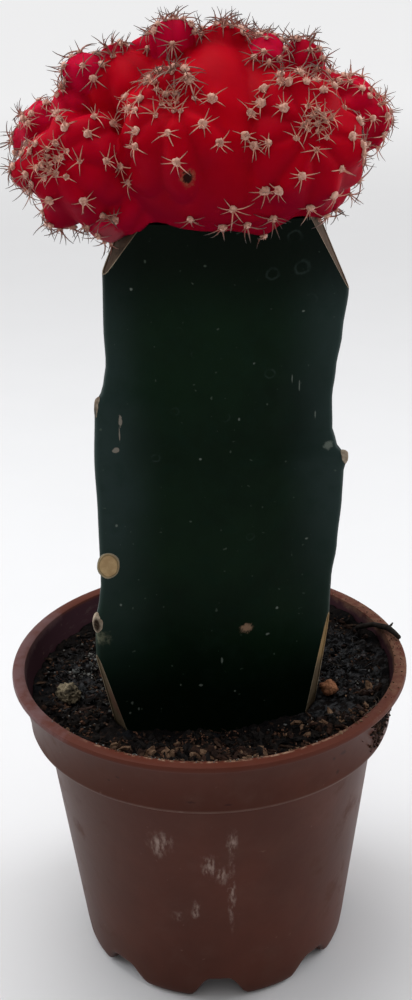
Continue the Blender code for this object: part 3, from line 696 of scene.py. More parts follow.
# centre, half sizes, grain, how ragged, how solid
stockMarks = {
    "grazes": [
        ((-12.1, -11.6, 98.6), (0.30, 3.0, 1.0), 1500.0, 1.6),
        ((-12.3, -11.6, 96.4), (0.10, 3.0, 1.3), 1500.0, 1.6),
        ((-12.9, -11.6, 94.1), (0.6, 3.0, 0.45), 1500.0, 1.8),
    ],
    "scar": [((6.0, -10.6, 63.3), (1.2, 3.0, 0.9), 1500.0, 2.4, 0.4)],
    "nicks": [(centre, (wide, 3.5, tall), 1500.0, 1.8, 0.5) for centre, wide, tall in paleNicks],
    "scurf": [((-16.5, -11.9, 63.0), (1.5, 3.0, 1.5), 800.0, 2.2, 0.2)],  # moss under the low pad on the left
}

# where a mask starts, along what, where it is full, and how strong it is at either end
stockFades = {
    "rib": (12.5, "radius", 20.5), "young": (56, "Z", 86, 0.25, 1.0),
    "underScion": (111, "Z", 123, 0.0, 0.85), "atMix": (64, "Z", 47, 0.0, 0.75),
}

# what lies over the green, from the first coat to the last: how thick, and its colour
stockCoats = {
    "edge": (0.85, (0.0225, 0.0385, 0.0360)),
    "bloomAndSheen": (0.45, (0.020, 0.036, 0.036)),
    "fine": (0.25, (0.006, 0.018, 0.012)),
    "paintedShade": (1.0, (0.0006, 0.0025, 0.0008)),
    "dots": (0.35, (0.10, 0.13, 0.10)),
    "wax": (0.40, (0.055, 0.080, 0.072)),
    "grazes": (0.7, (0.27, 0.235, 0.195)),
    "scar": (0.8, (0.30, 0.185, 0.12)),
    "nicks": (0.7, (0.15, 0.175, 0.15)),
    "scurf": (0.85, (0.130, 0.135, 0.088)),
}


def waxRing(tree, where, centre, size):
    disc = mark(tree, where, centre, (size, 4.0, size * 0.9), 700.0, 0.9, 0.6)
    hollow = mark(tree, where, centre, (size * 0.84, 4.0, size * 0.74), 700.0, 0.9, 0.6)
    ring = combine(tree, "SUBTRACT", disc, hollow, use_clamp=True)
    return multiply(tree, ring, mottle(tree, where, 300.0, 0.40, 0.62))


def stockSkin():
    material, tree, shader, where = startMaterial("stockSkin", Roughness=0.42, Specular_IOR_Level=0.05)
    middle = [c * mm for c in stock["middle"]]
    radius = reachOf(tree, stretch(tree, shift(tree, where, middle), (1, 1, 0)))
    along = {"radius": radius, "Z": put(tree, "SeparateXYZ", {"Vector": where}).outputs["Z"]}
    masks = {**fadesOf(tree, along, stockFades), **marksOf(tree, where, stockMarks)}
    # towards the rib's edge the skin is bluer and paler, most on the young upper part: partly the skin's own
    # bloom, partly a painted sheen of the side lights
    masks["edge"] = multiply(tree, masks["rib"], masks["young"])
    masks["bloomAndSheen"] = multiply(tree, mottle(tree, where, 110.0, 0.45, 0.75, 7.0), masks["edge"])
    masks["fine"] = mottle(tree, where, 420.0, 0.45, 0.75, 6.0)
    # painted shade: nearly black in the shadow under the scion and down at the mix in the pot's shade
    masks["paintedShade"] = strongest(tree, [masks["underScion"], masks["atMix"]])
    masks["dots"] = mottle(tree, where, 1100.0, 0.735, 0.80, 1.0)
    masks["wax"] = strongest(tree, [waxRing(tree, where, centre, size) for centre, size in waxRings])
    masks["scurf"] = multiply(tree, masks["scurf"], mottle(tree, where, 1300.0, 0.3, 0.6, 6.0))
    colour = blendColour(tree, mottle(tree, where, 45.0, 0.3, 0.72), *stock["green"])
    feed(tree, shader, "Base Color", cover(tree, colour, masks, stockCoats))
    feed(tree, shader, "Roughness", spread(tree, masks["fine"], 0.0, 1.0, 0.36, 0.55))
    roughenBy(tree, shader, noiseOn(tree, where, 160.0, 7.0, 0.6), 0.25, 0.5)
    return material


# the right cut is golden high up, the left one reddish low down
corkMarks = {
    "golden": [((17.5, -6.0, 60.0), (4.0, 5.0, 8.0), 300.0, 0.8, 0.3)],
    "reddish": [((-14.6, -11.5, 50.5), (3.0, 4.0, 4.5), 300.0, 1.0, 0.4)],
}


def corkSkin(name, light, dark):
    material, tree, shader, where = startMaterial(name, Roughness=0.85, Specular_IOR_Level=0.2)
    flecks = mottle(tree, stretch(tree, where, (1, 1, 0.5)), 480.0, 0.2, 0.8, 8.0)
    masks = marksOf(tree, where, corkMarks)
    masks["spots"] = mottle(tree, where, 260.0, 0.56, 0.72, 6.0)
    coats = {"golden": (0.75, (0.30, 0.185, 0.075)), "reddish": (0.6, (0.115, 0.045, 0.028)),
             "spots": (0.7, [c * 0.3 for c in dark])}
    feed(tree, shader, "Base Color", cover(tree, blendColour(tree, flecks, dark, light), masks, coats))
    roughenBy(tree, shader, noiseOn(tree, where, 900.0, 6.0), 0.15)
    return material


stockPads = {
    # rib, height, width across the edge, height of the pad, how far it stands out, turn, how dark its eye is
    "pads": [("left", 100.2, 0.55, 2.0, -0.1, 0, 0.8), ("left", 65.4, 1.0, 1.9, 0.05, 34, 1.0),
             ("right", 90.5, 0.70, 1.15, 0.10, 0, 0.3), ("back", 70.0, 1.1, 1.9, 0.1, 0, 0.8),
             ("back", 103.0, 1.0, 1.6, 0.1, 0, 0.8)],
    "sunk": 0.55, "thick": 0.85,
    # centre, half width, half thickness, half height, turn
    "faceScar": ((-14.95, -11.45, 75.3), 1.75, 0.38, 2.2, -84),
    "dent": 0.35, "dentWidth": 0.16, "eyeWidth": 0.24,
}


def padShape(bm, size, seed):
    # an oval pad with a sunken middle
    made = bmesh.ops.create_icosphere(bm, subdivisions=4, radius=1.0)["verts"]
    for corner in made:
        out = corner.co.y ** 2 + corner.co.z ** 2
        dent = 1 - stockPads["dent"] * math.exp(-out / stockPads["dentWidth"])
        rough = 1 + 0.07 * noise.noise(corner.co * 1.6 + Vector((seed, 0, 0)))
        rough += 0.03 * noise.noise(corner.co * 7)
        x, y, z = corner.co
        corner.co = Vector((x * dent * size[0], y * size[1], z * size[2])) * rough
    return made


def areolePad():
    # woolly tan with a dark eye
    material, tree, shader, where = startMaterial("areolePad", Roughness=0.95, Specular_IOR_Level=0.1)
    fluff = mottle(tree, where, 1300.0, 0.3, 0.7, 6.0)
    eye = put(tree, "Attribute", attribute_name="eye").outputs["Fac"]
    masks = {"eye": multiply(tree, eye, spread(tree, fluff, -0.6, 0.5))}
    colour = blendColour(tree, fluff, (0.20, 0.150, 0.105), (0.46, 0.38, 0.29))
    feed(tree, shader, "Base Color", cover(tree, colour, masks, {"eye": (1.0, (0.020, 0.012, 0.007))}))
    return material


def scarCork():
    # smooth tan cork with a dark line near its edge and a pale edge
    material, tree, shader, where = startMaterial("scarCork", Roughness=0.7, Specular_IOR_Level=0.15)
    out = put(tree, "Attribute", attribute_name="eye").outputs["Fac"]
    uneven = noiseOn(tree, where, 700.0, 4.0)
    out = put(tree, "Math", {0: uneven, 1: 0.35, 2: out}, operation="MULTIPLY_ADD").outputs[0]
    masks = {"line": multiply(tree, spread(tree, out, 0.90, 0.99), spread(tree, out, 1.08, 1.00)),
             "edge": spread(tree, out, 1.03, 1.12)}
    coats = {"line": (0.6, (0.060, 0.055, 0.028)), "edge": (0.8, (0.19, 0.19, 0.15))}
    broad = mottle(tree, where, 500.0, 0.3, 0.7, 5.0)
    colour = blendColour(tree, broad, (0.36, 0.235, 0.115), (0.52, 0.37, 0.19))
    feed(tree, shader, "Base Color", cover(tree, colour, masks, coats))
    return material


def buildStem():
    edge = corkSkin("corkEdge", (0.30, 0.245, 0.165), (0.165, 0.125, 0.080))
    top = corkSkin("corkTop", (0.105, 0.066, 0.040), (0.050, 0.030, 0.018))
    foot = corkSkin("corkFoot", (0.125, 0.088, 0.048), (0.062, 0.042, 0.022))
    bm = stockSolid(0.0, stock["footZ"], stock["topZ"], stock["rings"], 1)
    stem = newPiece("stockStem", bm, stockSkin(), edge, top, foot)
    stem.data.shade_smooth()
    stem.data.set_sharp_from_angle(angle=radians(32))
    dress(stem, "stock_flesh", "rootstock")


def buildPads():
    bm = bmesh.new()
    eye = bm.verts.layers.float.new("eye")
    for index, (ribName, height, across, tall, out, turned, dark) in enumerate(stockPads["pads"]):
        rib = stock["ribs"][ribName]
        made = padShape(bm, (stockPads["thick"], across, tall), index)
        for corner in made:
            gap = (corner.co.y / across) ** 2 + (corner.co.z / tall) ** 2
            corner[eye] = dark * min(1.0, 2.2 * math.exp(-gap / stockPads["eyeWidth"]))
        centre = Matrix.Translation(ribPoint(rib, height, stockPads["sunk"], out))
        turn = Matrix.Rotation(radians(rib["angle"] + turned), 4, "Z")
        bmesh.ops.transform(bm, verts=made, matrix=centre @ turn)
    # the round scar on the face
    centre, across, thick, tall, turned = stockPads["faceScar"]
    made = padShape(bm, (thick, across, tall), len(stockPads["pads"]))
    for corner in made:
        corner[eye] = math.hypot(corner.co.y / across, corner.co.z / tall)
        for face in corner.link_faces:
            face.material_index = 1
    turn = Matrix.Rotation(radians(turned), 4, "Z")
    bmesh.ops.transform(bm, verts=made, matrix=Matrix.Translation(centre) @ turn)
    bmesh.ops.scale(bm, verts=bm.verts, vec=(mm, mm, mm))
    pads = newPiece("stockAreoles", bm, areolePad(), scarCork())
    pads.data.shade_smooth()
    dress(pads, "bark")


# Scion

headForm = namedtuple("headForm", "centre crown radius halfHeight ribs rows turn magenta")

# centre, the way the crown faces, radius, half height, ribs, rows of areoles, turn, and how far its flesh
# has gone over to magenta, from 0 to 1
heads = {
    "mother": headForm((2.8, 0.3, 135.4), (0.04, 0.39, 0.92), 16.4, 15.0, 9, 6, 12, 0.0),
    "front": headForm((-1.7, -8.8, 137.8), (-0.15, -0.66, 0.74), 9.2, 8.2, 9, 3, 0, 0.05),
    "front_right": headForm((12.9, -7.6, 136.4), (0.26, -0.87, 0.41), 9.6, 8.8, 9, 3, 10, 0.08),
    "front_left": headForm((-15.3, -6.3, 134.4), (-0.48, -0.82, 0.31), 7.7, 7.2, 8, 3, 20, 0.2),
    "low_left": headForm((-12.2, -8.6, 127.2), (-0.35, -0.35, -0.87), 2.7, 3.0, 6, 2, 0, 1.0),
    "under_left": headForm((-9.2, -6.8, 128.6), (-0.30, -0.50, -0.81), 5.0, 4.6, 8, 2, 10, 0.45),
    "far_left": headForm((-21.4, -0.5, 138.2), (-0.85, -0.35, 0.40), 4.1, 3.9, 7, 2, 15, 0.8),
    "left_middle": headForm((-16.4, -2.6, 141.8), (-0.60, -0.25, 0.75), 3.9, 3.6, 7, 2, 0, 0.55),
    "left_shoulder": headForm((-9.2, -2.2, 143.4), (-0.30, 0.0, 0.95), 6.4, 5.8, 7, 2, 5, 0.05),
    "left_tip": headForm((-14.6, -3.6, 146.0), (-0.50, -0.30, 0.82), 2.8, 2.7, 6, 1, 0, 0.9),
    "left_bud": headForm((-11.0, -2.0, 148.1), (-0.30, -0.10, 0.95), 1.8, 1.9, 5, 1, 10, 0.6),
    "top": headForm((-3.0, -3.0, 149.9), (-0.02, -0.12, 1.0), 3.1, 3.0, 7, 1, 0, 0.85),
    "top_bud": headForm((-7.0, -1.0, 148.9), (-0.35, 0.0, 0.94), 1.9, 1.9, 5, 1, 0, 0.5),
    "crown_cone": headForm((4.0, -1.8, 143.2), (0.0, 0.0, 1.0), 5.4, 9.6, 6, 1, 30, 0.0),
    "crown_bud": headForm((1.3, -1.8, 149.0), (-0.1, 0.0, 1.0), 1.5, 2.2, 5, 1, 0, 0.0),
    "top_right": headForm((9.4, -4.8, 147.8), (0.12, -0.55, 0.83), 2.6, 2.5, 6, 1, 8, 0.85),
    "right_shoulder": headForm((14.4, -1.8, 146.0), (0.15, 0.0, 0.98), 3.5, 3.9, 6, 2, 0, 0.55),
    "right_middle": headForm((18.2, 0.6, 141.8), (0.30, 0.0, 0.95), 3.8, 3.6, 7, 2, 0, 0.4),
    "far_right": headForm((22.0, -1.2, 139.4), (0.66, -0.46, 0.59), 4.9, 4.7, 7, 2, 12, 0.5),
    "low_right": headForm((17.4, -3.4, 130.8), (0.72, -0.55, -0.30), 4.6, 4.2, 7, 2, 0, 0.25),
    "back_right": headForm((12.6, 10.2, 137.2), (0.55, 0.74, 0.38), 7.6, 7.0, 9, 3, 0, 0.15),
    "back": headForm((-1.2, 12.0, 138.0), (-0.05, 0.84, 0.54), 7.6, 7.0, 9, 3, 12, 0.15),
    "back_left": headForm((-13.4, 8.6, 135.8), (-0.70, 0.62, 0.35), 7.0, 6.4, 8, 3, 0, 0.15),
    "back_top": headForm((5.4, 7.6, 146.6), (0.10, 0.40, 0.90), 4.6, 4.2, 7, 2, 6, 0.15),
    "back_low": headForm((6.4, 12.6, 129.4), (0.24, 0.84, -0.48), 4.6, 4.0, 7, 2, 0, 0.15),
    "low_far_left": headForm((-17.0, 3.6, 130.4), (-0.86, 0.20, -0.46), 4.6, 4.0, 7, 2, 0, 0.15),
    "low_far_right": headForm((18.6, 6.0, 132.6), (0.84, 0.40, -0.36), 4.8, 4.2, 7, 2, 0, 0.15),
}

scion = {
    # how deep the valleys are and how high the tubercles, on the mother head and on the others
    "motherRelief": (0.07, 0.0), "relief": (0.125, 0.05), "reliefGrowth": 0.7, "ribRoundness": 0.8,
    "crownDimple": 0.10, "dimpleWidth": 0.30, "conePeak": 0.35,
    "firstRow": 0.34, "lastRow": 2.20, "rowGrowth": 1.15, "betweenRows": 0.25,
    "baseSquareness": 0.75, "baseSmoothing": 0.75, "baseDepth": 0.92,
    # over this radius: segments per rib, and from crown to base
    "segments": [(10, (16, 96)), (6, (16, 64)), (0, (10, 40))],
    "voxel": 0.34, "seatGap": 0.3, "seatFoot": 100.0,
    "buriedMargin": 0.35, "areoleGap": 0.55, "frontGap": 1.6, "skinShift": 1.3, "youngWithin": 0.42,
    # areoles that face the front more than this come from the list below
    "frontFacing": -0.42, "motherFrontFacing": -0.12,
    "missedBy": 1.2,  # an areole whose line of sight passes further from the skin than this is left out
    # the shade underneath: its slope and start by the way the skin faces, its top and depth in height
    "underside": (1.1, 0.35, 143, 13),
    # the bump under an areole: height and width, on a small head, and how much more on one of the full radius
    "youngBump": (0.16, 0.5), "bump": (0.30, 0.75), "bumpGrowth": (0.28, 0.65), "fullRadius": 8.0,
    "red": [(0.355, 0.0003, 0.0070), (0.465, 0.0004, 0.0080)],
}

# where the areoles on the front of the scion show, in pixels of the photo
frontAreoles = [
    (172, 44), (148, 50), (186, 29), (152, 34), (161, 28), (166, 22), (174, 21), (181, 25), (114, 58),
    (84, 67), (100, 67), (93, 78), (73, 59), (70, 80), (125, 48), (79, 52), (172, 85), (156, 88),
    (146, 103), (157, 117), (181, 113), (194, 102), (193, 88), (181, 80), (163, 80), (167, 97), (177, 104),
    (171, 106), (163, 106), (201, 126), (170, 134), (177, 161), (141, 132), (140, 147), (141, 115),
    (205, 127), (212, 101), (62, 125), (93, 122), (110, 127), (32, 125), (30, 126), (69, 132), (87, 136),
    (43, 147), (68, 152), (80, 162), (105, 160), (124, 163), (30, 142), (57, 144), (67, 177), (57, 173),
    (42, 167), (40, 184), (52, 197), (83, 199), (133, 181), (101, 212), (115, 219), (192, 216), (194, 236),
    (58, 214), (18, 151), (18, 138), (36, 150), (58, 160), (50, 158), (63, 158), (52, 166), (50, 150),
    (223, 28), (204, 39), (240, 34), (255, 42), (266, 43), (264, 54), (256, 59), (276, 59), (280, 51),
    (267, 63), (250, 38), (260, 37), (272, 40), (277, 46), (298, 45), (306, 45), (308, 54), (313, 68),
    (294, 44), (276, 89), (291, 90), (303, 90), (315, 89), (322, 97), (330, 92), (263, 107), (285, 111),
    (307, 108), (248, 115), (344, 110), (317, 112), (331, 120), (307, 123), (317, 124), (312, 117),
    (322, 116), (338, 86), (350, 87), (361, 92), (368, 98), (370, 118), (376, 107), (381, 117), (327, 86),
    (216, 143), (242, 137), (252, 147), (270, 142), (296, 139), (316, 150), (307, 130), (326, 138),
    (345, 137), (352, 149), (301, 174), (337, 168), (263, 189), (281, 188), (271, 215), (262, 232),
    (310, 203), (331, 192), (375, 143), (379, 132), (360, 155), (366, 140), (232, 206), (222, 223),
    (246, 221), (34, 118), (28, 122), (22, 127), (18, 133), (17, 141), (21, 160), (26, 171), (31, 177),
    (35, 183), (30, 196), (37, 203), (46, 209), (54, 215), (63, 221), (73, 227), (84, 227), (93, 226),
    (101, 234), (105, 241), (109, 246), (60, 163), (64, 158), (52, 171), (45, 165), (38, 172), (42, 180),
    (48, 177), (37, 158), (41, 152), (24, 166), (33, 168), (186, 84), (182, 76), (192, 84), (166, 79),
    (176, 97), (165, 100), (158, 96), (151, 93), (160, 106), (170, 109), (175, 112), (135, 112), (178, 86),
    (160, 90), (262, 93), (313, 84), (322, 80), (327, 77), (316, 127), (308, 121), (325, 122), (317, 132),
    (303, 126), (298, 83), (283, 84), (345, 80), (352, 80), (361, 82), (368, 92), (375, 98), (379, 105),
    (383, 113), (384, 121), (351, 142), (354, 155), (365, 162), (340, 81), (166, 25), (171, 24), (176, 24),
    (158, 34), (190, 34), (70, 50), (76, 47), (82, 45), (66, 57), (63, 65), (61, 72), (94, 56), (58, 80),
    (107, 49), (113, 47), (119, 48), (130, 49), (101, 55), (258, 39), (264, 37), (270, 38), (276, 41),
    (280, 47), (252, 40), (298, 47), (304, 45), (310, 46), (315, 53), (318, 61), (216, 27), (221, 25),
    (226, 26), (231, 29), (205, 35), (240, 36), (147, 36), (152, 38),
]


def headMatrix(head):
    facing = Vector(head.crown).to_track_quat("Z", "Y").to_matrix()
    spin = Matrix.Rotation(radians(head.turn), 3, "Z")
    return Matrix.Translation(Vector(head.centre) * mm) @ (facing @ spin).to_4x4()


def rowAngle(row, rows):
    return scion["firstRow"] + (scion["lastRow"] - scion["firstRow"]) * (row / rows) ** scion["rowGrowth"]


def rowAt(angle, rows):
    share = (angle - scion["firstRow"]) / (scion["lastRow"] - scion["firstRow"])
    return math.copysign(abs(share) ** (1 / scion["rowGrowth"]), share) * rows


def headPoint(head, angle, turn, row):
    # a place on a head: the angle from its crown, the turn about it, and where between its rows of areoles
    crest = abs(math.cos(head.ribs * turn / 2))
    # the mother head is the smoothest, and the cone on it comes to a point
    ribDepth, tubercle = scion["motherRelief"] if head is heads["mother"] else scion["relief"]
    peak = scion["conePeak"] if head is heads["crown_cone"] else 0.0
    across, along = abs(math.sin(angle)), math.cos(angle)
    relief = across ** scion["reliefGrowth"]
    if along < 0:
        relief *= 1 + scion["baseSmoothing"] * along
        across, along = across ** scion["baseSquareness"], -((-along) ** scion["baseSquareness"])
    swell = 1.0 - ribDepth * (1.0 - crest ** scion["ribRoundness"]) * relief
    swell += tubercle * crest ** 2 * relief * (math.cos(math.pi * row) ** 2 - 0.5)
    swell -= scion["crownDimple"] * math.exp(-((angle / scion["dimpleWidth"]) ** 2))
    if along < 0:
        along *= scion["baseDepth"]
    across *= 1 - peak * max(0.0, along) ** 2
    return Vector((
        head.radius * mm * swell * across * math.cos(turn),
        head.radius * mm * swell * across * math.sin(turn),
        head.halfHeight * mm * swell * along,
    ))


def skinFacing(head, angle, turn, row):
    # the way out of the skin, and the way along it to the crown
    step = 0.05
    ahead = headPoint(head, angle + step, turn, row) - headPoint(head, max(0.01, angle - step), turn, row)
    aside = headPoint(head, angle, turn + step, row) - headPoint(head, angle, turn - step, row)
    return ahead.cross(aside).normalized(), -ahead.normalized()


def heightAbove(head, point):
    local = headMatrix(head).inverted() @ point
    angle = math.atan2(math.hypot(local.x, local.y) / head.radius, local.z / head.halfHeight)
    return local.length - headPoint(head, angle, math.atan2(local.y, local.x), scion["betweenRows"]).length


def inStock(point, margin):
    offset = point.xy / mm - stockAxis(point.z / mm)
    if point.z / mm > stock["topZ"] + margin or offset.length > stock["slicedReach"] + margin:
        return False
    return insideFaces(offset, margin)


# centre, half sizes, grain, how ragged, how solid
scionMarks = {
    "faded": [((-12.6, -9.0, 125.8), (2.6, 4.0, 2.6), 500.0, 0.9)],
    "scar": [((-1.3, -17.8, 134.4), (1.25, 3.0, 1.6), 1100.0, 1.6, 0.5)],
    "hole": [((-1.3, -17.8, 134.5), (0.85, 3.0, 1.0), 1300.0, 2.0, 0.6)],
}

# what lies over the red, from the first coat to the last: how thick, and its colour
scionCoats = {
    "magenta": (1.0, (0.455, 0.0010, 0.030)),
    # the under and valley coats are painted shade: darker underneath and in the valleys between the ribs
    "under": (0.85, (0.165, 0.0004, 0.012)),
    "valley": (0.30, (0.22, 0.0003, 0.005)),
    "freckles": (0.12, (0.60, 0.02, 0.025)),
    "faded": (0.55, (0.26, 0.07, 0.08)),
    "scar": (0.8, (0.26, 0.085, 0.045)),
    "hole": (1.0, (0.022, 0.006, 0.005)),
}


def scionFlesh():
    material, tree, shader, where = startMaterial("scionFlesh", Roughness=0.55, Specular_IOR_Level=0.02)
    shader.inputs["Subsurface Weight"].default_value = 0.25
    shader.inputs["Subsurface Scale"].default_value = 0.0018
    shader.inputs["Subsurface Radius"].default_value = (1.0, 0.12, 0.10)
    growth = put(tree, "Attribute", attribute_name="growth").outputs["Color"]
    masks = marksOf(tree, where, scionMarks)
    masks.update(zip(("magenta", "valley", "under"), put(tree, "SeparateColor", {"Color": growth}).outputs))
    masks["freckles"] = mottle(tree, where, 900.0, 0.60, 0.78, 3.0)
    colour = blendColour(tree, mottle(tree, where, 90.0, 0.3, 0.7), *scion["red"])
    feed(tree, shader, "Base Color", cover(tree, colour, masks, scionCoats))
    roughenBy(tree, shader, noiseOn(tree, where, 1100.0, 4.0), 0.06, 0.5)
    return material


def readVectors(mesh, kind):
    values = np.zeros(len(mesh.vertices) * 3)
    mesh.vertices.foreach_get(kind, values)
    return values.reshape(-1, 3)


def paintGrowth(mesh):
    # per corner: how magenta its head is, and for the painted shade, how deep in a valley it lies and how
    # much it looks down
    places, looks = readVectors(mesh, "co"), readVectors(mesh, "normal")
    nearest = np.full(len(places), 1e9)
    magenta, valley = np.zeros(len(places)), np.zeros(len(places))
    for head in heads.values():
        inverse = np.array(headMatrix(head).inverted())
        local = places @ inverse[:3, :3].T + inverse[:3, 3]
        shaped = local / (np.array([head.radius, head.radius, head.halfHeight]) * mm)
        gap = (np.linalg.norm(shaped, axis=1) - 1) * head.radius
        turn = np.arctan2(local[:, 1], local[:, 0])
        closer = gap < nearest
        nearest[closer] = gap[closer]
        magenta[closer] = head.magenta
        valley[closer] = (1 - np.abs(np.cos(head.ribs * turn / 2))[closer]) ** 2
    slope, start, top, depth = scion["underside"]
    low = np.clip((top * mm - places[:, 2]) / (depth * mm), 0, 1)
    under = np.clip(-looks[:, 2] * slope + start, 0, 1) * low
    values = np.stack([magenta, valley, under, np.ones(len(places))], axis=1).astype(np.float32)
    layer = mesh.color_attributes.new("growth", "FLOAT_COLOR", "POINT")
    layer.data.foreach_set("color", values.ravel())


def headShape(head, material):
    bm = bmesh.new()
    perRib, down = next(segments for radius, segments in scion["segments"] if head.radius > radius)
    bmesh.ops.create_uvsphere(bm, u_segments=head.ribs * perRib, v_segments=down, radius=1.0)
    for corner in bm.verts:
        angle = math.acos(max(-1.0, min(1.0, corner.co.z)))
        turn = math.atan2(corner.co.y, corner.co.x)
        wobble = 1 + 0.018 * noise.noise(corner.co * 2.2 + Vector(head.centre))
        corner.co = headPoint(head, angle, turn, rowAt(angle, head.rows)) * wobble
    return newMesh("head", bm, material)


def buildScion():
    flesh = scionFlesh()
    body = stampAll("scionFleshBody", [(headShape(head, flesh), headMatrix(head)) for head in heads.values()])
    skin = body.modifiers.new("skin", "REMESH")
    skin.mode = "VOXEL"
    skin.voxel_size = scion["voxel"] * mm
    skin.use_smooth_shade = True
    applyModifiers(body)
    soften = body.modifiers.new("soften", "SMOOTH")
    soften.factor = 0.5
    soften.iterations = 4
    applyModifiers(body)
    areoles = raiseTubercles(body.data, findAreoles(body.data))
    seat = stockSolid(scion["seatGap"], scion["seatFoot"], stock["topZ"] + scion["seatGap"], 14)
    cutAway(body, newPiece("seat", seat), "MANIFOLD")
    body.data.shade_smooth()
    paintGrowth(body.data)
    dress(body, "scion_flesh", "scion")
    return areoles


# Strands: spines, fibres and the twig

def growStrand(bm, points, radii, sides):
    # a tapering tube along some points, that keeps how far along it each corner is
    share = bm.verts.layers.float.get("along") or bm.verts.layers.float.new("along")
    direction = (points[1] - points[0]).normalized()
    made = bmesh.ops.create_circle(bm, cap_ends=True, segments=sides, radius=radii[0],
                                   matrix=facingMatrix(points[0], direction))["verts"]
    face = made[0].link_faces[0]
    for step in range(1, len(points)):
        grown = bmesh.ops.extrude_face_region(bm, geom=[face], use_keep_orig=step == 1)["geom"]
        face = next(item for item in grown if isinstance(item, bmesh.types.BMFace))
        made = [item for item in grown if isinstance(item, bmesh.types.BMVert)]
        bmesh.ops.translate(bm, verts=made, vec=points[step] - points[step - 1])
        following = (points[min(step + 1, len(points) - 1)] - points[step - 1]).normalized()
        bend = direction.rotation_difference(following).to_matrix().to_4x4()
        size = Matrix.Scale(radii[step] / radii[step - 1], 4)
        middle = Matrix.Translation(points[step])
        bmesh.ops.transform(bm, verts=made, matrix=middle @ bend @ size @ middle.inverted())
        direction = following
        for corner in made:
            corner[share] = step / (len(points) - 1)
    bmesh.ops.recalc_face_normals(bm, faces=bm.faces)


spines = {
    "length": 2.05, "thick": 0.098, "tip": 0.026, "sunk": 0.25,
    "bends": (0.30, 0.48, 0.16, -0.22, 0.38), "curl": 2.4,
    "scale": (0.60, 1.20), "lowLength": 1.25, "topLength": 1.35,
    "grown": {"count": (6, 9), "lean": (32, 74), "opening": (215, 310), "wool": 1.0},
    "young": {"count": (4, 7), "lean": (8, 50), "opening": (300, 350), "wool": 0.72},
    "woolRadius": (0.46, 0.70), "woolSizes": 4, "woolHairs": 12,
    "topLimit": 154.95,
    # longer where they face down more than this and above this height; dark above, below, aside and behind:
    # painted shade, for spines seen against the light and in the scion's shadow
    "lowFacing": -0.25, "highAbove": 146, "darkBelow": 129, "darkAside": 0.80, "darkBehind": 0.2,
    "seed": 4,
}


def spineBone(name, base, middle, tip):
    material, tree, shader, where = startMaterial(name, Roughness=0.5, Specular_IOR_Level=0.4)
    along = put(tree, "Attribute", attribute_name="along").outputs["Fac"]
    nearTip = put(tree, "MapRange", {"Value": along, "From Min": 0.7, "From Max": 1.0}).outputs["Result"]
    masks = {"middle": spread(tree, along, 0.25, 0.8), "tip": nearTip}
    root = blendColour(tree, mottle(tree, where, 400.0, 0.3, 0.7), base, [c * 1.25 for c in base])
    colour = cover(tree, root, masks, {"middle": (1.0, middle), "tip": (1.0, tip)})
    feed(tree, shader, "Base Color", colour)
    return material


def areoleWool():
    material, tree, shader, where = startMaterial("areoleWool", Roughness=0.95, Sheen_Weight=0.4)
    tufts = mottle(tree, where, 1500.0, 0.3, 0.7)
    # pinkish tan: the wool's own cream with a painted red glow from the flesh
    feed(tree, shader, "Base Color", blendColour(tree, tufts, (0.40, 0.165, 0.115), (0.76, 0.44, 0.33)))
    return material


def spineShape(bend, material):
    bm = bmesh.new()
    points, radii = [], []
    for share in (0, 0.25, 0.5, 0.75, 1):
        angle = bend * spines["curl"] * share
        point = Vector((math.sin(angle) * share * 0.9, 0, share * math.cos(angle * 0.6)))
        points.append(point * spines["length"] * mm)
        radii.append((spines["thick"] * (1 - share) ** 0.8 + spines["tip"] * share) * mm)
    points[0].z = -spines["sunk"] * mm
    growStrand(bm, points, radii, 4)
    return newMesh("spine", bm, material)


def woolShape(draw, material):
    # a flattened, lumpy ball with short hairs
    bm = bmesh.new()
    for corner in bmesh.ops.create_icosphere(bm, subdivisions=2, radius=1.0)["verts"]:
        corner.co *= 1 + 0.24 * draw.uniform(-1, 1)
        corner.co.z = corner.co.z * 0.62
    for _ in range(spines["woolHairs"]):
        lean, turn = draw.uniform(0.2, 1.35), draw.uniform(0, math.tau)
        way = Vector((math.sin(lean) * math.cos(turn), math.sin(lean) * math.sin(turn), math.cos(lean)))
        hair = bmesh.ops.create_cone(bm, cap_ends=False, segments=3, radius1=0.16, radius2=0.0, depth=1.1)
        bmesh.ops.transform(bm, verts=hair["verts"], matrix=facingMatrix(way * 0.72, way))
    bmesh.ops.remove_doubles(bm, verts=bm.verts, dist=0.0001)
    mesh = newMesh("wool", bm, material)
    mesh.shade_smooth()
    return mesh


areoleForm = namedtuple("areoleForm", "place facing crownward radius young")


def treeOf(mesh):
    return BVHTree.FromPolygons([v.co[:] for v in mesh.vertices], [p.vertices[:] for p in mesh.polygons])


def seenAt(tree, pixel):
    # the skin that shows at a pixel of the photo, or the skin nearest to that line of sight
    view = bpy.context.scene.camera
    width, height = camera["picture"]
    focal = height * view.data.lens / view.data.sensor_width
    sight = Vector((pixel[0] - width / 2, height / 2 - pixel[1], -focal)).normalized()
    eye, sight = view.matrix_world.translation, view.matrix_world.to_3x3() @ sight
    place, normal, _, _ = tree.ray_cast(eye, sight)
    if place:
        return place, normal
    near, far = (Vector(camera["place"]).length * share * mm for share in (0.6, 1.1))
    count = 300
    steps = (tree.find_nearest(eye + sight * (near + (far - near) * step / count)) for step in range(count))
    place, normal, _, gap = min(steps, key=lambda found: found[3])
    return (place, normal) if gap < scion["missedBy"] * mm else None


def seenAreole(place, normal):
    head = min(heads.values(), key=lambda head: heightAbove(head, place))
    centre, crown = Vector(head.centre) * mm, Vector(head.crown).normalized()
    facing = (normal + (place - centre).normalized() * 0.6).normalized()
    crownPoint = centre + crown * head.halfHeight * mm
    young = (place - crownPoint).length < scion["youngWithin"] * head.radius * mm
    return areoleForm(place, facing, (crownPoint - place).normalized(), head.radius, young)


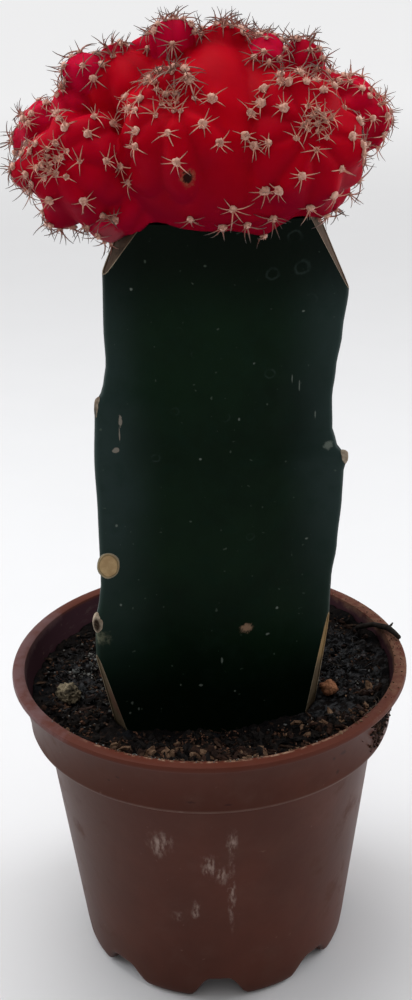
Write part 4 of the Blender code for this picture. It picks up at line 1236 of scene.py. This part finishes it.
def ribAreole(tree, head, angle, turn, row, young):
    # an areole on a rib, or none where it is buried, or faces the front enough to come from the list
    matrix = headMatrix(head)
    point = matrix @ headPoint(head, angle, turn, row)
    others = (other for other in heads.values() if other is not head)
    if inStock(point, scion["buriedMargin"]):
        return None
    if any(heightAbove(other, point) < scion["buriedMargin"] * mm for other in others):
        return None
    facing, crownward = (matrix.to_3x3() @ way for way in skinFacing(head, angle, turn, row))
    place, normal, _, _ = tree.ray_cast(point + facing * 2.5 * mm, -facing, 5 * mm)
    if place is None or (place - point).length > scion["skinShift"] * mm:
        return None
    facing = (facing + normal).normalized()
    if facing.y < scion["motherFrontFacing" if head is heads["mother"] else "frontFacing"]:
        return None
    return areoleForm(place, facing, crownward, head.radius, young)


def ribAreoles(tree):
    for head in heads.values():
        for rib in range(head.ribs):
            turn = math.tau * rib / head.ribs
            for row in range(head.rows + 1):
                if row > 0 or rib % 2 == 0:
                    yield ribAreole(tree, head, rowAngle(row, head.rows), turn, row, row == 0)
        # the young areoles that crowd in a crown, in a spiral
        for index in range(8 if head.radius > 3.5 else 5):
            angle = (0.06 + 0.055 * index ** 0.9) * (1.0 if head.radius > 5 else 1.5)
            yield ribAreole(tree, head, angle, index * 2.39996 + 0.4, scion["betweenRows"], True)


def farFrom(others, areole, gap):
    return all((areole.place - other.place).length > gap * mm for other in others)


def findAreoles(mesh):
    # those that show in the photo first, then those that stand on the ribs elsewhere
    tree = treeOf(mesh)
    front = [seenAreole(*seen) for seen in (seenAt(tree, pixel) for pixel in frontAreoles) if seen]
    found = []
    for areole in front:
        if farFrom(found, areole, scion["areoleGap"]):
            found.append(areole)
    for areole in filter(None, ribAreoles(tree)):
        if farFrom(front, areole, scion["frontGap"]) and farFrom(found, areole, scion["areoleGap"]):
            found.append(areole)
    return found


def raiseTubercles(mesh, areoles):
    # each areole is lifted on a soft bump of the flesh, and moves out with it
    places = readVectors(mesh, "co")
    start = places.copy()
    for areole in areoles:
        size = min(1.0, areole.radius / scion["fullRadius"])
        grown = [least + more * size for least, more in zip(scion["bump"], scion["bumpGrowth"])]
        height, width = scion["youngBump"] if areole.young else grown
        gap = start - np.array(areole.place)
        push = height * mm * np.exp(-np.sum(gap * gap, axis=1) / (2 * (width * mm) ** 2))
        places += push[:, None] * np.array(areole.facing)[None, :]
    mesh.vertices.foreach_set("co", places.ravel())
    mesh.update()
    tree = treeOf(mesh)
    lifted = []
    for areole in areoles:
        hit, _, _, _ = tree.ray_cast(areole.place + areole.facing * 3 * mm, -areole.facing, 5 * mm)
        lifted.append(areole._replace(place=hit or areole.place))
    return lifted


def placeSpine(shape, root, basis, length):
    # a spine that would rise over the top is shortened
    while True:
        stretched = Matrix.Diagonal((0.55 + 0.45 * length, 0.55 + 0.45 * length, length, 1))
        matrix = Matrix.Translation(root) @ basis @ stretched
        top = max((matrix @ corner.co).z for corner in shape.vertices)
        if length < 0.15 or top < spines["topLimit"] * mm:
            return shape, matrix
        length *= 0.88


def fanOfSpines(draw, areole, shapes, size):
    # the fan of spines opens away from the crown of its head
    place, facing = areole.place, areole.facing
    away = (facing * areole.crownward.dot(facing) - areole.crownward).normalized()
    kind = spines["young" if areole.young else "grown"]
    count = draw.randint(*kind["count"])
    opening = radians(draw.uniform(*kind["opening"]))
    for index in range(count):
        share = (index + 0.5 + draw.uniform(-0.25, 0.25)) / count - 0.5
        lean = radians(draw.uniform(*kind["lean"]))
        aside = Matrix.Rotation(share * opening, 3, facing) @ away
        way = (facing * math.cos(lean) + aside * math.sin(lean)).normalized()
        side = way.cross(aside).normalized()
        basis = Matrix((side.cross(way), side, way)).transposed().to_4x4()
        length = size * draw.uniform(*spines["scale"])
        length *= spines["lowLength"] if facing.z < spines["lowFacing"] else 1.0
        length *= spines["topLength"] if place.z > spines["highAbove"] * mm else 1.0
        yield placeSpine(draw.choice(shapes), place + facing * 0.05 * mm, basis, length)


def buildSpines(areoles):
    draw, woolDraw = random.Random(spines["seed"]), random.Random(2)
    # the pale spines carry a painted pink glow from the red flesh, and the dark ones are their painted shaded
    # copy
    pale = spineBone("spineBone", (0.58, 0.275, 0.195), (0.42, 0.245, 0.18), (0.10, 0.075, 0.065))
    dark = spineBone("shadedSpine", (0.34, 0.145, 0.105), (0.145, 0.095, 0.075), (0.035, 0.030, 0.028))
    paleShapes = [spineShape(bend, pale) for bend in spines["bends"]]
    darkShapes = [spineShape(bend, dark) for bend in spines["bends"]]
    wool = areoleWool()
    woolShapes = [woolShape(woolDraw, wool) for _ in range(spines["woolSizes"])]
    spinePlaces, woolPlaces = [], []
    for areole in areoles:
        place, facing = areole.place, areole.facing
        size = 0.72 + 0.28 * min(1.0, areole.radius / scion["fullRadius"])
        kind = spines["young" if areole.young else "grown"]
        width = draw.uniform(*spines["woolRadius"]) * size * kind["wool"]
        cushion = facingMatrix(place + facing * 0.10 * mm, facing, draw.uniform(0, math.tau))
        woolPlaces.append((draw.choice(woolShapes), cushion @ Matrix.Scale(width * mm, 4)))
        inDark = place.z > spines["highAbove"] * mm or place.z < spines["darkBelow"] * mm
        inDark = inDark or abs(facing.x) > spines["darkAside"] or facing.y > spines["darkBehind"]
        spinePlaces += fanOfSpines(draw, areole, darkShapes if inDark else paleShapes, size)
    print("areoles", len(areoles), "spines", len(spinePlaces))
    needles = stampAll("scionSpines", spinePlaces)
    needles.data.shade_smooth()
    dress(needles, "scion_flesh")
    dress(stampAll("scionWool", woolPlaces), "scion_flesh")


# Potting mix

soil = {
    # the mix's top is dished and heaped, with lumps, clods and grit on it
    "level": 44.5, "footZ": 5.9, "topRadius": 28.9, "dish": 3.1, "heap": 3.2, "heapWay": (0.85, 0.5),
    "roughness": 0.6, "lump": 4.5,
    "steps": 300, "rings": 84,
    "clods": 0.55, "grit": 0.28,
    # the mix follows the slope of the collar above this height and outside this radius
    "collarFrom": 43.6, "collarInside": 25, "collarOver": 3.9, "collarSlope": 0.150,
    "wallTopZ": 43.4, "bodyTopZ": 42.3, "wallGap": 0.3,
    "holeGap": 0.25, "holeTopZ": 60.0,
}


def soilHeight(x, y):
    # millimetres in, millimetres out
    place = Vector((x, y, 0.0)) * mm
    lumps = noise.noise(place / (soil["lump"] * mm))
    fine = noise.noise((place + Vector((0, 0, 0.01 * mm))) / (soil["lump"] * 0.45 * mm))
    edge = (x * x + y * y) / soil["topRadius"] ** 2
    heap = max(0.0, Vector(soil["heapWay"]).dot(Vector((x, y))) / soil["topRadius"]) ** 2
    rough = soil["roughness"] * (lumps + 0.6 * fine)
    return soil["level"] + soil["dish"] * edge + soil["heap"] * heap + rough


# a bluish grey film on the mix at either side of the stock: where it is, how thick, and its colour
mould = {
    "marks": [((21.0, 1.0, 47.5), (11.0, 17.0, 9.0), 150.0, 1.2, 0.5),
              ((-22.0, 3.0, 46.5), (7.0, 12.0, 8.0), 150.0, 1.2, 0.2)],
    "coat": (0.65, (0.066, 0.069, 0.074)),
}


def mouldy(tree, where, colour):
    sides = marksOf(tree, where, {"filmAndSheen": mould["marks"]})["filmAndSheen"]
    masks = {"filmAndSheen": multiply(tree, sides, mottle(tree, where, 900.0, 0.46, 0.62, 7.0))}
    return cover(tree, colour, masks, {"filmAndSheen": mould["coat"]})


def peat():
    material, tree, shader, where = startMaterial("peat", Roughness=0.95, Specular_IOR_Level=0.06)
    clods = mottle(tree, where, 350.0, 0.35, 0.7, 8.0)
    colour = blendColour(tree, clods, (0.0030, 0.0028, 0.0032), (0.011, 0.0085, 0.0075))
    masks = {"blue": mottle(tree, where, 130.0, 0.52, 0.70, 5.0),
             "brown": mottle(tree, where, 900.0, 0.58, 0.70, 5.0)}
    coats = {"blue": (0.6, (0.014, 0.017, 0.021)), "brown": (0.6, (0.060, 0.030, 0.018))}
    feed(tree, shader, "Base Color", mouldy(tree, where, cover(tree, colour, masks, coats)))
    roughenBy(tree, shader, noiseOn(tree, where, 1100.0, 9.0, 0.75), 0.6)
    return material


def grit(name, dark, light, scale=900.0, mouldFilm=False):
    material, tree, shader, where = startMaterial(name, Roughness=0.9, Specular_IOR_Level=0.08)
    colour = blendColour(tree, mottle(tree, where, scale, 0.3, 0.7, 6.0), dark, light)
    feed(tree, shader, "Base Color", mouldy(tree, where, colour) if mouldFilm else colour)
    roughenBy(tree, shader, noiseOn(tree, where, scale * 2, 6.0), 0.1)
    return material


def buildSoil():
    bm = bmesh.new()
    flat, reach = 50.0, soil["topRadius"]  # the top starts flat, and is then heaped up
    top = [(reach * step / soil["rings"], flat) for step in range(soil["rings"] + 1)]
    bodyTop = pot["bodyTopRadius"] - pot["wall"] - soil["wallGap"]
    foot = pot["footRadius"] - 2 * soil["wallGap"]
    wall = [(reach - 0.2, soil["wallTopZ"]), (bodyTop, soil["bodyTopZ"]), (foot, soil["footZ"] + 1.0),
            (foot - 0.9, soil["footZ"]), (0.0, soil["footZ"])]
    spinProfile(bm, top + wall, soil["steps"])
    for corner in bm.verts:
        if corner.co.z > (flat - 1) * mm:
            x, y = corner.co.x / mm, corner.co.y / mm
            clods = abs(noise.noise(Vector((x, y, 3.0)) / 1.5)) + 0.5 * noise.noise(Vector((x, y, 5.0)) / 0.8)
            grains = noise.noise(Vector((x, y, 7.0)) / 0.4)
            height = soilHeight(x, y) + soil["clods"] * clods + soil["grit"] * grains
            # near the collar the mix spreads outwards with the collar's slope
            outer = max(0.0, math.hypot(x, y) - soil["collarInside"]) / soil["collarOver"]
            outwards = outer * soil["collarSlope"] * max(0.0, height - soil["collarFrom"])
            corner.co.xy *= 1 + outwards / max(1.0, math.hypot(x, y))
            corner.co.z = height * mm
    mix = newPiece("pottingMix", bm, peat())
    gap = soil["holeGap"]
    cutAway(mix, newPiece("stockHole", stockSolid(gap, stock["footZ"] - 0.3, soil["holeTopZ"], 16)))
    mix.data.shade_smooth()
    dress(mix, "potting_mix", "soil")


crumbs = {
    "seed": 8, "reach": 28.6, "stockClear": 0.35, "lift": 0.15, "sunk": (-0.2, 0.5),
    "mostlySmall": 2.2,  # the power that makes most of the crumbs small
    "tinyUnder": 0.34,  # smaller crumbs take the shapes with few faces
    # how many, smallest, largest, how long for their width
    "peatClod": (1500, 0.22, 0.85, 1.3),
    "brownClod": (520, 0.18, 0.60, 1.6),
    "sliver": (150, 0.18, 0.45, 4.2),
    "tanChip": (90, 0.12, 0.40, 1.5),
    "perlite": (26, 0.15, 0.40, 1.2),
    # a grey, mouldy ring of grains left of the stock
    "ring": 70, "ringCentre": (-21.6, 7.4), "ringRadii": (2.0, 3.0), "ringArc": (-2.6, 1.2),
    "ringLift": (0.3, 0.9), "ringSize": (0.10, 0.30),
    # brown and tan chips that gather at the front, where the mix meets the collar
    "front": 170, "frontCentre": (-1, -21.5), "frontSpread": (8, 2.6), "frontLimit": 28.0,
    "frontSize": (0.25, 0.9),
    "frontKinds": ["brownClod", "brownClod", "tanChip", "sliver", "peatClod"],
    # tan chips at the front, one by one: x, y and size
    "chips": [(-15.0, -17.2, 0.7), (-13.4, -18.4, 0.6), (-2.0, -17.6, 0.8), (-0.6, -18.2, 0.6),
              (0.4, -17.4, 0.5), (13.8, -11.2, 0.7), (14.6, -12.6, 0.6), (12.2, -14.2, 0.5),
              (6.0, -18.0, 0.4)],
    # clods and chips in front of the pebble, and along the foot of the stock there
    "corner": 230, "cornerCentre": (18.5, -10.0), "cornerSpread": (3.0, 2.8), "cornerLimit": 27.6,
    "cornerKinds": ["brownClod", "peatClod", "peatClod", "peatClod", "sliver", "brownClod", "tanChip"],
    "pebbleClear": (19.6, -3.8, 2.2),  # x, y and how far they stay from the pebble's middle
    "levelByStock": 46.0,
    # a few pale crumbs on the rim at the front right: how far round, and size
    "rimChips": [(-51, 0.34), (-49.5, 0.26), (-48.5, 0.2), (-44, 0.22), (-42.5, 0.3), (-40, 0.2),
                 (-113, 0.2)],
    # bits and sand on the rim: how many, least and most size, then how far round with its spread, and radii
    "rimBits": (110, (0.05, 0.17), (2, 24, 30.5, 32.1)),
    "rimSand": (150, (0.05, 0.15), (-92, 22, 30.45, 31.0)),
    # caked on the collar, under the lip
    "caked": 260, "cakedTop": 50.7, "cakedFoot": 42.9, "cakedDrop": 3.4, "cakedTurn": (-29, 3.4),
    "cakedSize": (0.08, 0.38),
    "specks": 1300, "specksReach": 28.4, "specksLift": (0.35, 0.95), "specksSize": (0.05, 0.24),
    "rustBefore": -13,
}


def crumbShapes(material, seed, long, divisions=2):
    shapes = []
    draw = random.Random(seed)
    for index in range(5):
        bm = bmesh.new()
        for corner in bmesh.ops.create_icosphere(bm, subdivisions=divisions, radius=1.0)["verts"]:
            place = Vector((seed * 3 + index * 7, 0, 0))
            rough = 0.75 * noise.noise(corner.co * 1.2 + place)
            corner.co *= 1 + rough + 0.30 * noise.noise(corner.co * 2.7 + place)
        bmesh.ops.scale(bm, verts=bm.verts, vec=(long, draw.uniform(0.6, 0.95), draw.uniform(0.45, 0.8)))
        shapes.append(newMesh("crumb", bm, material))
    return shapes


def crumbSets():
    # for each kind of crumb, its shapes with many faces and those with few
    materials = {
        "peatClod": grit("peatClod", (0.0028, 0.0027, 0.0030), (0.015, 0.012, 0.0105), mouldFilm=True),
        "brownClod": grit("brownClod", (0.007, 0.0042, 0.0036), (0.042, 0.021, 0.014), mouldFilm=True),
        "sliver": grit("sliverBark", (0.012, 0.0075, 0.0055), (0.070, 0.040, 0.026)),
        "tanChip": grit("tanChip", (0.070, 0.036, 0.021), (0.20, 0.125, 0.078)),
        "perlite": grit("perlite", (0.075, 0.080, 0.078), (0.22, 0.215, 0.20), 700.0),
    }
    large = {kind: crumbShapes(material, 1 + index, crumbs[kind][3])
             for index, (kind, material) in enumerate(materials.items())}
    tiny = {kind: crumbShapes(material, 11 + index, 1.3, 1)
            for index, (kind, material) in enumerate(materials.items())}
    return large, tiny


def inStem(x, y, height, margin):
    return insideFaces(Vector((x, y)) - stockAxis(height), margin)


def anywhere(draw, reach):
    # a place on the mix: x, y and how far out
    radius, angle = reach * math.sqrt(draw.random()), draw.uniform(0, math.tau)
    return radius * math.cos(angle), radius * math.sin(angle), radius


def around(draw, centre, across):
    return draw.gauss(centre[0], across[0]), draw.gauss(centre[1], across[1])


def tumble(draw, point, size):
    turn = Matrix.Rotation(draw.uniform(0, math.tau), 4, "Z") @ Matrix.Rotation(draw.gauss(0, 0.5), 4, "Y")
    turn = turn @ Matrix.Rotation(draw.uniform(0, math.tau), 4, "X")
    return Matrix.Translation(Vector(point) * mm) @ turn @ Matrix.Scale(size * mm, 4)


def polar(angle, radius, height):
    return (radius * math.cos(radians(angle)), radius * math.sin(radians(angle)), height)


def crumbsAllOver(draw, large, tiny):
    for kind, shapes in large.items():
        count, smallest, largest, _ = crumbs[kind]
        while count > 0:
            x, y, radius = anywhere(draw, crumbs["reach"])
            size = smallest + (largest - smallest) * draw.random() ** crumbs["mostlySmall"]
            height = soilHeight(x, y)
            if inStem(x, y, height, crumbs["stockClear"] + size * 0.8) or radius + size > soil["topRadius"]:
                continue
            point = (x, y, height + crumbs["lift"] + size * draw.uniform(*crumbs["sunk"]))
            yield draw.choice(shapes if size > crumbs["tinyUnder"] else tiny[kind]), tumble(draw, point, size)
            count -= 1


def crumbsInPlaces(draw, large, tiny):
    for _ in range(crumbs["ring"]):
        turn = draw.uniform(*crumbs["ringArc"])
        x = crumbs["ringCentre"][0] + crumbs["ringRadii"][0] * math.cos(turn) + draw.gauss(0, 0.45)
        y = crumbs["ringCentre"][1] + crumbs["ringRadii"][1] * math.sin(turn) + draw.gauss(0, 0.6)
        point = (x, y, soilHeight(x, y) + draw.uniform(*crumbs["ringLift"]))
        yield draw.choice(tiny["perlite"]), tumble(draw, point, draw.uniform(*crumbs["ringSize"]))
    for _ in range(crumbs["front"]):
        x, y = around(draw, crumbs["frontCentre"], crumbs["frontSpread"])
        if math.hypot(x, y) > crumbs["frontLimit"] or inStem(x, y, crumbs["levelByStock"], 0.8):
            continue
        size = draw.uniform(*crumbs["frontSize"])
        kind = draw.choice(crumbs["frontKinds"])
        point = (x, y, soilHeight(x, y) + 0.2 + size * 0.3)
        yield draw.choice(large[kind]), tumble(draw, point, size if kind != "sliver" else size * 0.6)
    for x, y, size in crumbs["chips"]:
        yield draw.choice(large["tanChip"]), tumble(draw, (x, y, soilHeight(x, y) + 0.4), size)
    pebbleX, pebbleY, clear = crumbs["pebbleClear"]
    for _ in range(crumbs["corner"]):
        x, y = around(draw, crumbs["cornerCentre"], crumbs["cornerSpread"])
        onPebble = math.hypot(x - pebbleX, y - pebbleY) < clear
        byStock = inStem(x, y, crumbs["levelByStock"], 0.7)
        if math.hypot(x, y) > crumbs["cornerLimit"] or byStock or onPebble:
            continue
        size = 0.16 + 0.62 * draw.random() ** 1.8
        kind = draw.choice(crumbs["cornerKinds"])
        point = (x, y, soilHeight(x, y) + 0.35 + size * draw.uniform(0.1, 0.5))
        shape = draw.choice(large[kind] if size > crumbs["tinyUnder"] else tiny[kind])
        yield shape, tumble(draw, point, size if kind != "sliver" else size * 0.5)


def rimPoint(draw, middle, across, inner, outer):
    return polar(draw.gauss(middle, across), draw.uniform(inner, outer), pot["height"] + 0.02)


def crumbsOnRim(draw, tiny):
    for angle, size in crumbs["rimChips"]:
        yield draw.choice(tiny["tanChip"]), tumble(draw, polar(angle, 31.0, pot["height"] + 0.05), size)
    count, sizes, where = crumbs["rimBits"]
    for _ in range(count):
        point = rimPoint(draw, *where)
        kind = draw.choice(["brownClod", "tanChip", "tanChip"])
        yield draw.choice(tiny[kind]), tumble(draw, point, draw.uniform(*sizes))
    for _ in range(crumbs["caked"]):
        height = crumbs["cakedTop"] - abs(draw.gauss(0, crumbs["cakedDrop"]))
        if height < crumbs["cakedFoot"]:
            continue
        size = draw.uniform(*crumbs["cakedSize"])
        outwards = pot["collarFlare"] * (height - pot["collarFootZ"]) / pot["collarRise"]
        radius = pot["collarFootRadius"] + outwards + size * 0.2
        point = polar(draw.gauss(*crumbs["cakedTurn"]), radius, height)
        kind = draw.choice(["peatClod", "brownClod", "brownClod", "sliver"])
        yield draw.choice(tiny[kind]), tumble(draw, point, size)
    count, sizes, where = crumbs["rimSand"]
    for _ in range(count):
        point = rimPoint(draw, *where)
        kind = "tanChip" if draw.random() < 0.8 else "perlite"
        yield draw.choice(tiny[kind]), tumble(draw, point, draw.uniform(*sizes))


def buildCrumbs(draw, large, tiny):
    places = [*crumbsAllOver(draw, large, tiny), *crumbsInPlaces(draw, large, tiny), *crumbsOnRim(draw, tiny)]
    dress(stampAll("mixCrumbs", places), "potting_mix")


def buildGrains(draw, tiny):
    # fine grains over the clods, rust and tan at the front, grey at the sides
    rust = crumbShapes(grit("rustGrain", (0.040, 0.019, 0.012), (0.150, 0.074, 0.046)), 23, 1.5, 1)
    places = []
    while len(places) < crumbs["specks"]:
        x, y, _ = anywhere(draw, crumbs["specksReach"])
        height = soilHeight(x, y)
        patch = noise.noise(Vector((x, y, 9.0)) / 3.2)
        if inStem(x, y, height, 0.3) or patch < draw.uniform(-0.2, 0.35):
            continue
        point = (x, y, height + draw.uniform(*crumbs["specksLift"]))
        isRust = y < crumbs["rustBefore"] or draw.random() < 0.35
        chosen = rust if isRust else tiny["perlite" if draw.random() < 0.3 else "sliver"]
        places.append((draw.choice(chosen), tumble(draw, point, draw.uniform(*crumbs["specksSize"]))))
    dress(stampAll("mixGrains", places), "potting_mix")


fibres = {
    "bends": (0.5, -0.8, 1.3), "thick": 0.055, "tip": 0.02,
    "moulds": 340, "mouldPlace": (21.5, 2.0), "mouldSpread": (3.0, 6.5), "mouldLimit": 26.8,
    "mouldClear": 1.6, "mouldLift": (0.5, 0.9), "mouldScale": (0.18, 0.5),
    "roots": 420, "rootsReach": 27.5, "rootsLimit": 26.5, "rootsClear": 2.6, "rootsLift": 0.6,
    "rootsScale": (0.25, 0.7), "brownBefore": -11,
    # how far round the rim the fibres that lie on it are
    "onRim": (-38, -36, -33.5, -31, -40, -44, 12, 16, 20, 25, 30, 8),
}


def fibreShapes(material):
    shapes = []
    for bend in fibres["bends"]:
        bm = bmesh.new()
        points = [Vector((step * 0.62, bend * math.sin(step * 0.55) * 0.5, 0.16 * math.sin(step * 0.9))) * mm
                  for step in range(6)]
        growStrand(bm, points, [fibres["thick"] * mm] * 5 + [fibres["tip"] * mm], 3)
        shapes.append(newMesh("fibre", bm, material))
    return shapes


def lay(draw, low, high):
    # a fibre turned any way, and tipped between two angles
    turn = Matrix.Rotation(draw.uniform(0, math.tau), 4, "Z")
    return turn @ Matrix.Rotation(draw.uniform(low, high), 4, "Y")


def buildFibres(draw):
    pale = fibreShapes(grit("rootFibre", (0.040, 0.030, 0.024), (0.15, 0.115, 0.085), 600.0))
    brown = fibreShapes(grit("brownFibre", (0.014, 0.009, 0.007), (0.055, 0.032, 0.022), 600.0))
    threads = fibreShapes(grit("mouldThread", (0.045, 0.048, 0.055), (0.15, 0.155, 0.165), 600.0))
    places = []
    while len(places) < fibres["moulds"]:
        side = draw.choice((-1, 1, 1))
        x, y = around(draw, fibres["mouldPlace"], fibres["mouldSpread"])
        x *= side
        height = soilHeight(x, y)
        if inStem(x, y, height, fibres["mouldClear"]) or math.hypot(x, y) > fibres["mouldLimit"]:
            continue
        turn = lay(draw, -0.9, 0.5)
        place = Matrix.Translation(Vector((x, y, height + draw.uniform(*fibres["mouldLift"]))) * mm)
        shape = draw.choice(threads)
        places.append((shape, place @ turn @ Matrix.Scale(draw.uniform(*fibres["mouldScale"]), 4)))
    while len(places) < fibres["moulds"] + fibres["roots"]:
        x, y, radius = anywhere(draw, fibres["rootsReach"])
        height = soilHeight(x, y)
        if inStem(x, y, height, fibres["rootsClear"]) or radius > fibres["rootsLimit"]:
            continue
        turn = lay(draw, -0.5, 0.4)
        place = Matrix.Translation(Vector((x, y, height + fibres["rootsLift"])) * mm)
        shape = draw.choice(brown if y < fibres["brownBefore"] or draw.random() < 0.4 else pale)
        places.append((shape, place @ turn @ Matrix.Scale(draw.uniform(*fibres["rootsScale"]), 4)))
    for angle in fibres["onRim"]:
        place = Matrix.Translation(Vector(polar(angle, 30.6, pot["height"] + 0.1)) * mm)
        turn = Matrix.Rotation(radians(angle + draw.uniform(60, 150)), 4, "Z")
        places.append((draw.choice(pale), place @ turn @ Matrix.Scale(draw.uniform(0.5, 0.75), 4)))
    dress(stampAll("mixFibres", places), "potting_mix")


def buildLitter():
    draw = random.Random(crumbs["seed"])
    large, tiny = crumbSets()
    buildCrumbs(draw, large, tiny)
    buildGrains(draw, tiny)
    buildFibres(draw)


# Loose bits

bits = {
    # centre, half sizes, turn, seed, how crumbly
    "pebble": ((19.6, -3.8, 48.2), (1.4, 1.3, 1.2), 25, 3.0, 0.12),
    "bark": ((-23.3, -3.0, 47.9), (1.8, 2.3, 1.4), 20, 7.0, 0.24),
    "twig": [(25.6, 10.4, 51.4), (27.1, 9.5, 52.3), (28.3, 8.6, 53.0), (30.5, 6.3, 53.5), (31.3, 4.7, 53.5),
             (31.95, 3.1, 53.4)],
    "twigRadii": [0.38, 0.50, 0.44, 0.54, 0.44, 0.38],
    # the fork: the point of the twig that it leaves, its points from there, and its radii
    "forkFrom": 3, "fork": [(0.6, 0.5, 0.3), (0.9, 1.1, 0.35)], "forkRadii": [0.24, 0.2, 0.12],
}


def buildLump(name, facts, material, slot, node):
    centre, half, turn, seed, crumbly = facts
    bm = bmesh.new()
    bmesh.ops.create_icosphere(bm, subdivisions=5, radius=1.0)
    for corner in bm.verts:
        rough = 1.0 + 0.28 * noise.noise(corner.co * 1.3 + Vector((seed, 0, 0)))
        rough += crumbly * noise.noise(corner.co * 4.0 + Vector((seed, 4, 0)))
        rough += 0.4 * crumbly * noise.noise(corner.co * 9.0 + Vector((seed, 8, 0)))
        corner.co = Vector((corner.co.x * half[0], corner.co.y * half[1], corner.co.z * half[2])) * rough
    place = Matrix.Translation(Vector(centre) * mm) @ Matrix.Rotation(radians(turn), 4, "Z")
    place = place @ Matrix.Scale(mm, 4)
    bmesh.ops.transform(bm, verts=bm.verts, matrix=place)
    piece = newPiece(name, bm, material)
    piece.data.shade_smooth()
    dress(piece, slot, node)


def buildTwig():
    bm = bmesh.new()
    points = [Vector(point) * mm for point in bits["twig"]]
    growStrand(bm, points, [radius * mm for radius in bits["twigRadii"]], 8)
    start = points[bits["forkFrom"]]
    fork = [start, *(start + Vector(step) * mm for step in bits["fork"])]
    growStrand(bm, fork, [radius * mm for radius in bits["forkRadii"]], 6)
    twig = newPiece("twigStick", bm, grit("twigBark", (0.008, 0.007, 0.007), (0.032, 0.025, 0.021), 700.0))
    twig.data.shade_smooth()
    dress(twig, "twig_wood", "twig")


def buildBits():
    clay = grit("clayStone", (0.10, 0.036, 0.020), (0.30, 0.135, 0.070), 420.0)
    buildLump("clayPebble", bits["pebble"], clay, "pebble_stone", "pebble")
    bark = grit("barkSkin", (0.012, 0.010, 0.007), (0.27, 0.22, 0.145), 620.0)
    buildLump("barkFlake", bits["bark"], bark, "bark", "bark_chip")
    buildTwig()


setCamera(camera)
setStudio(studio)
bpy.context.scene.view_settings.view_transform = "Standard"
buildPot()
buildStem()
buildPads()
buildSpines(buildScion())
buildSoil()
buildLitter()
buildBits()
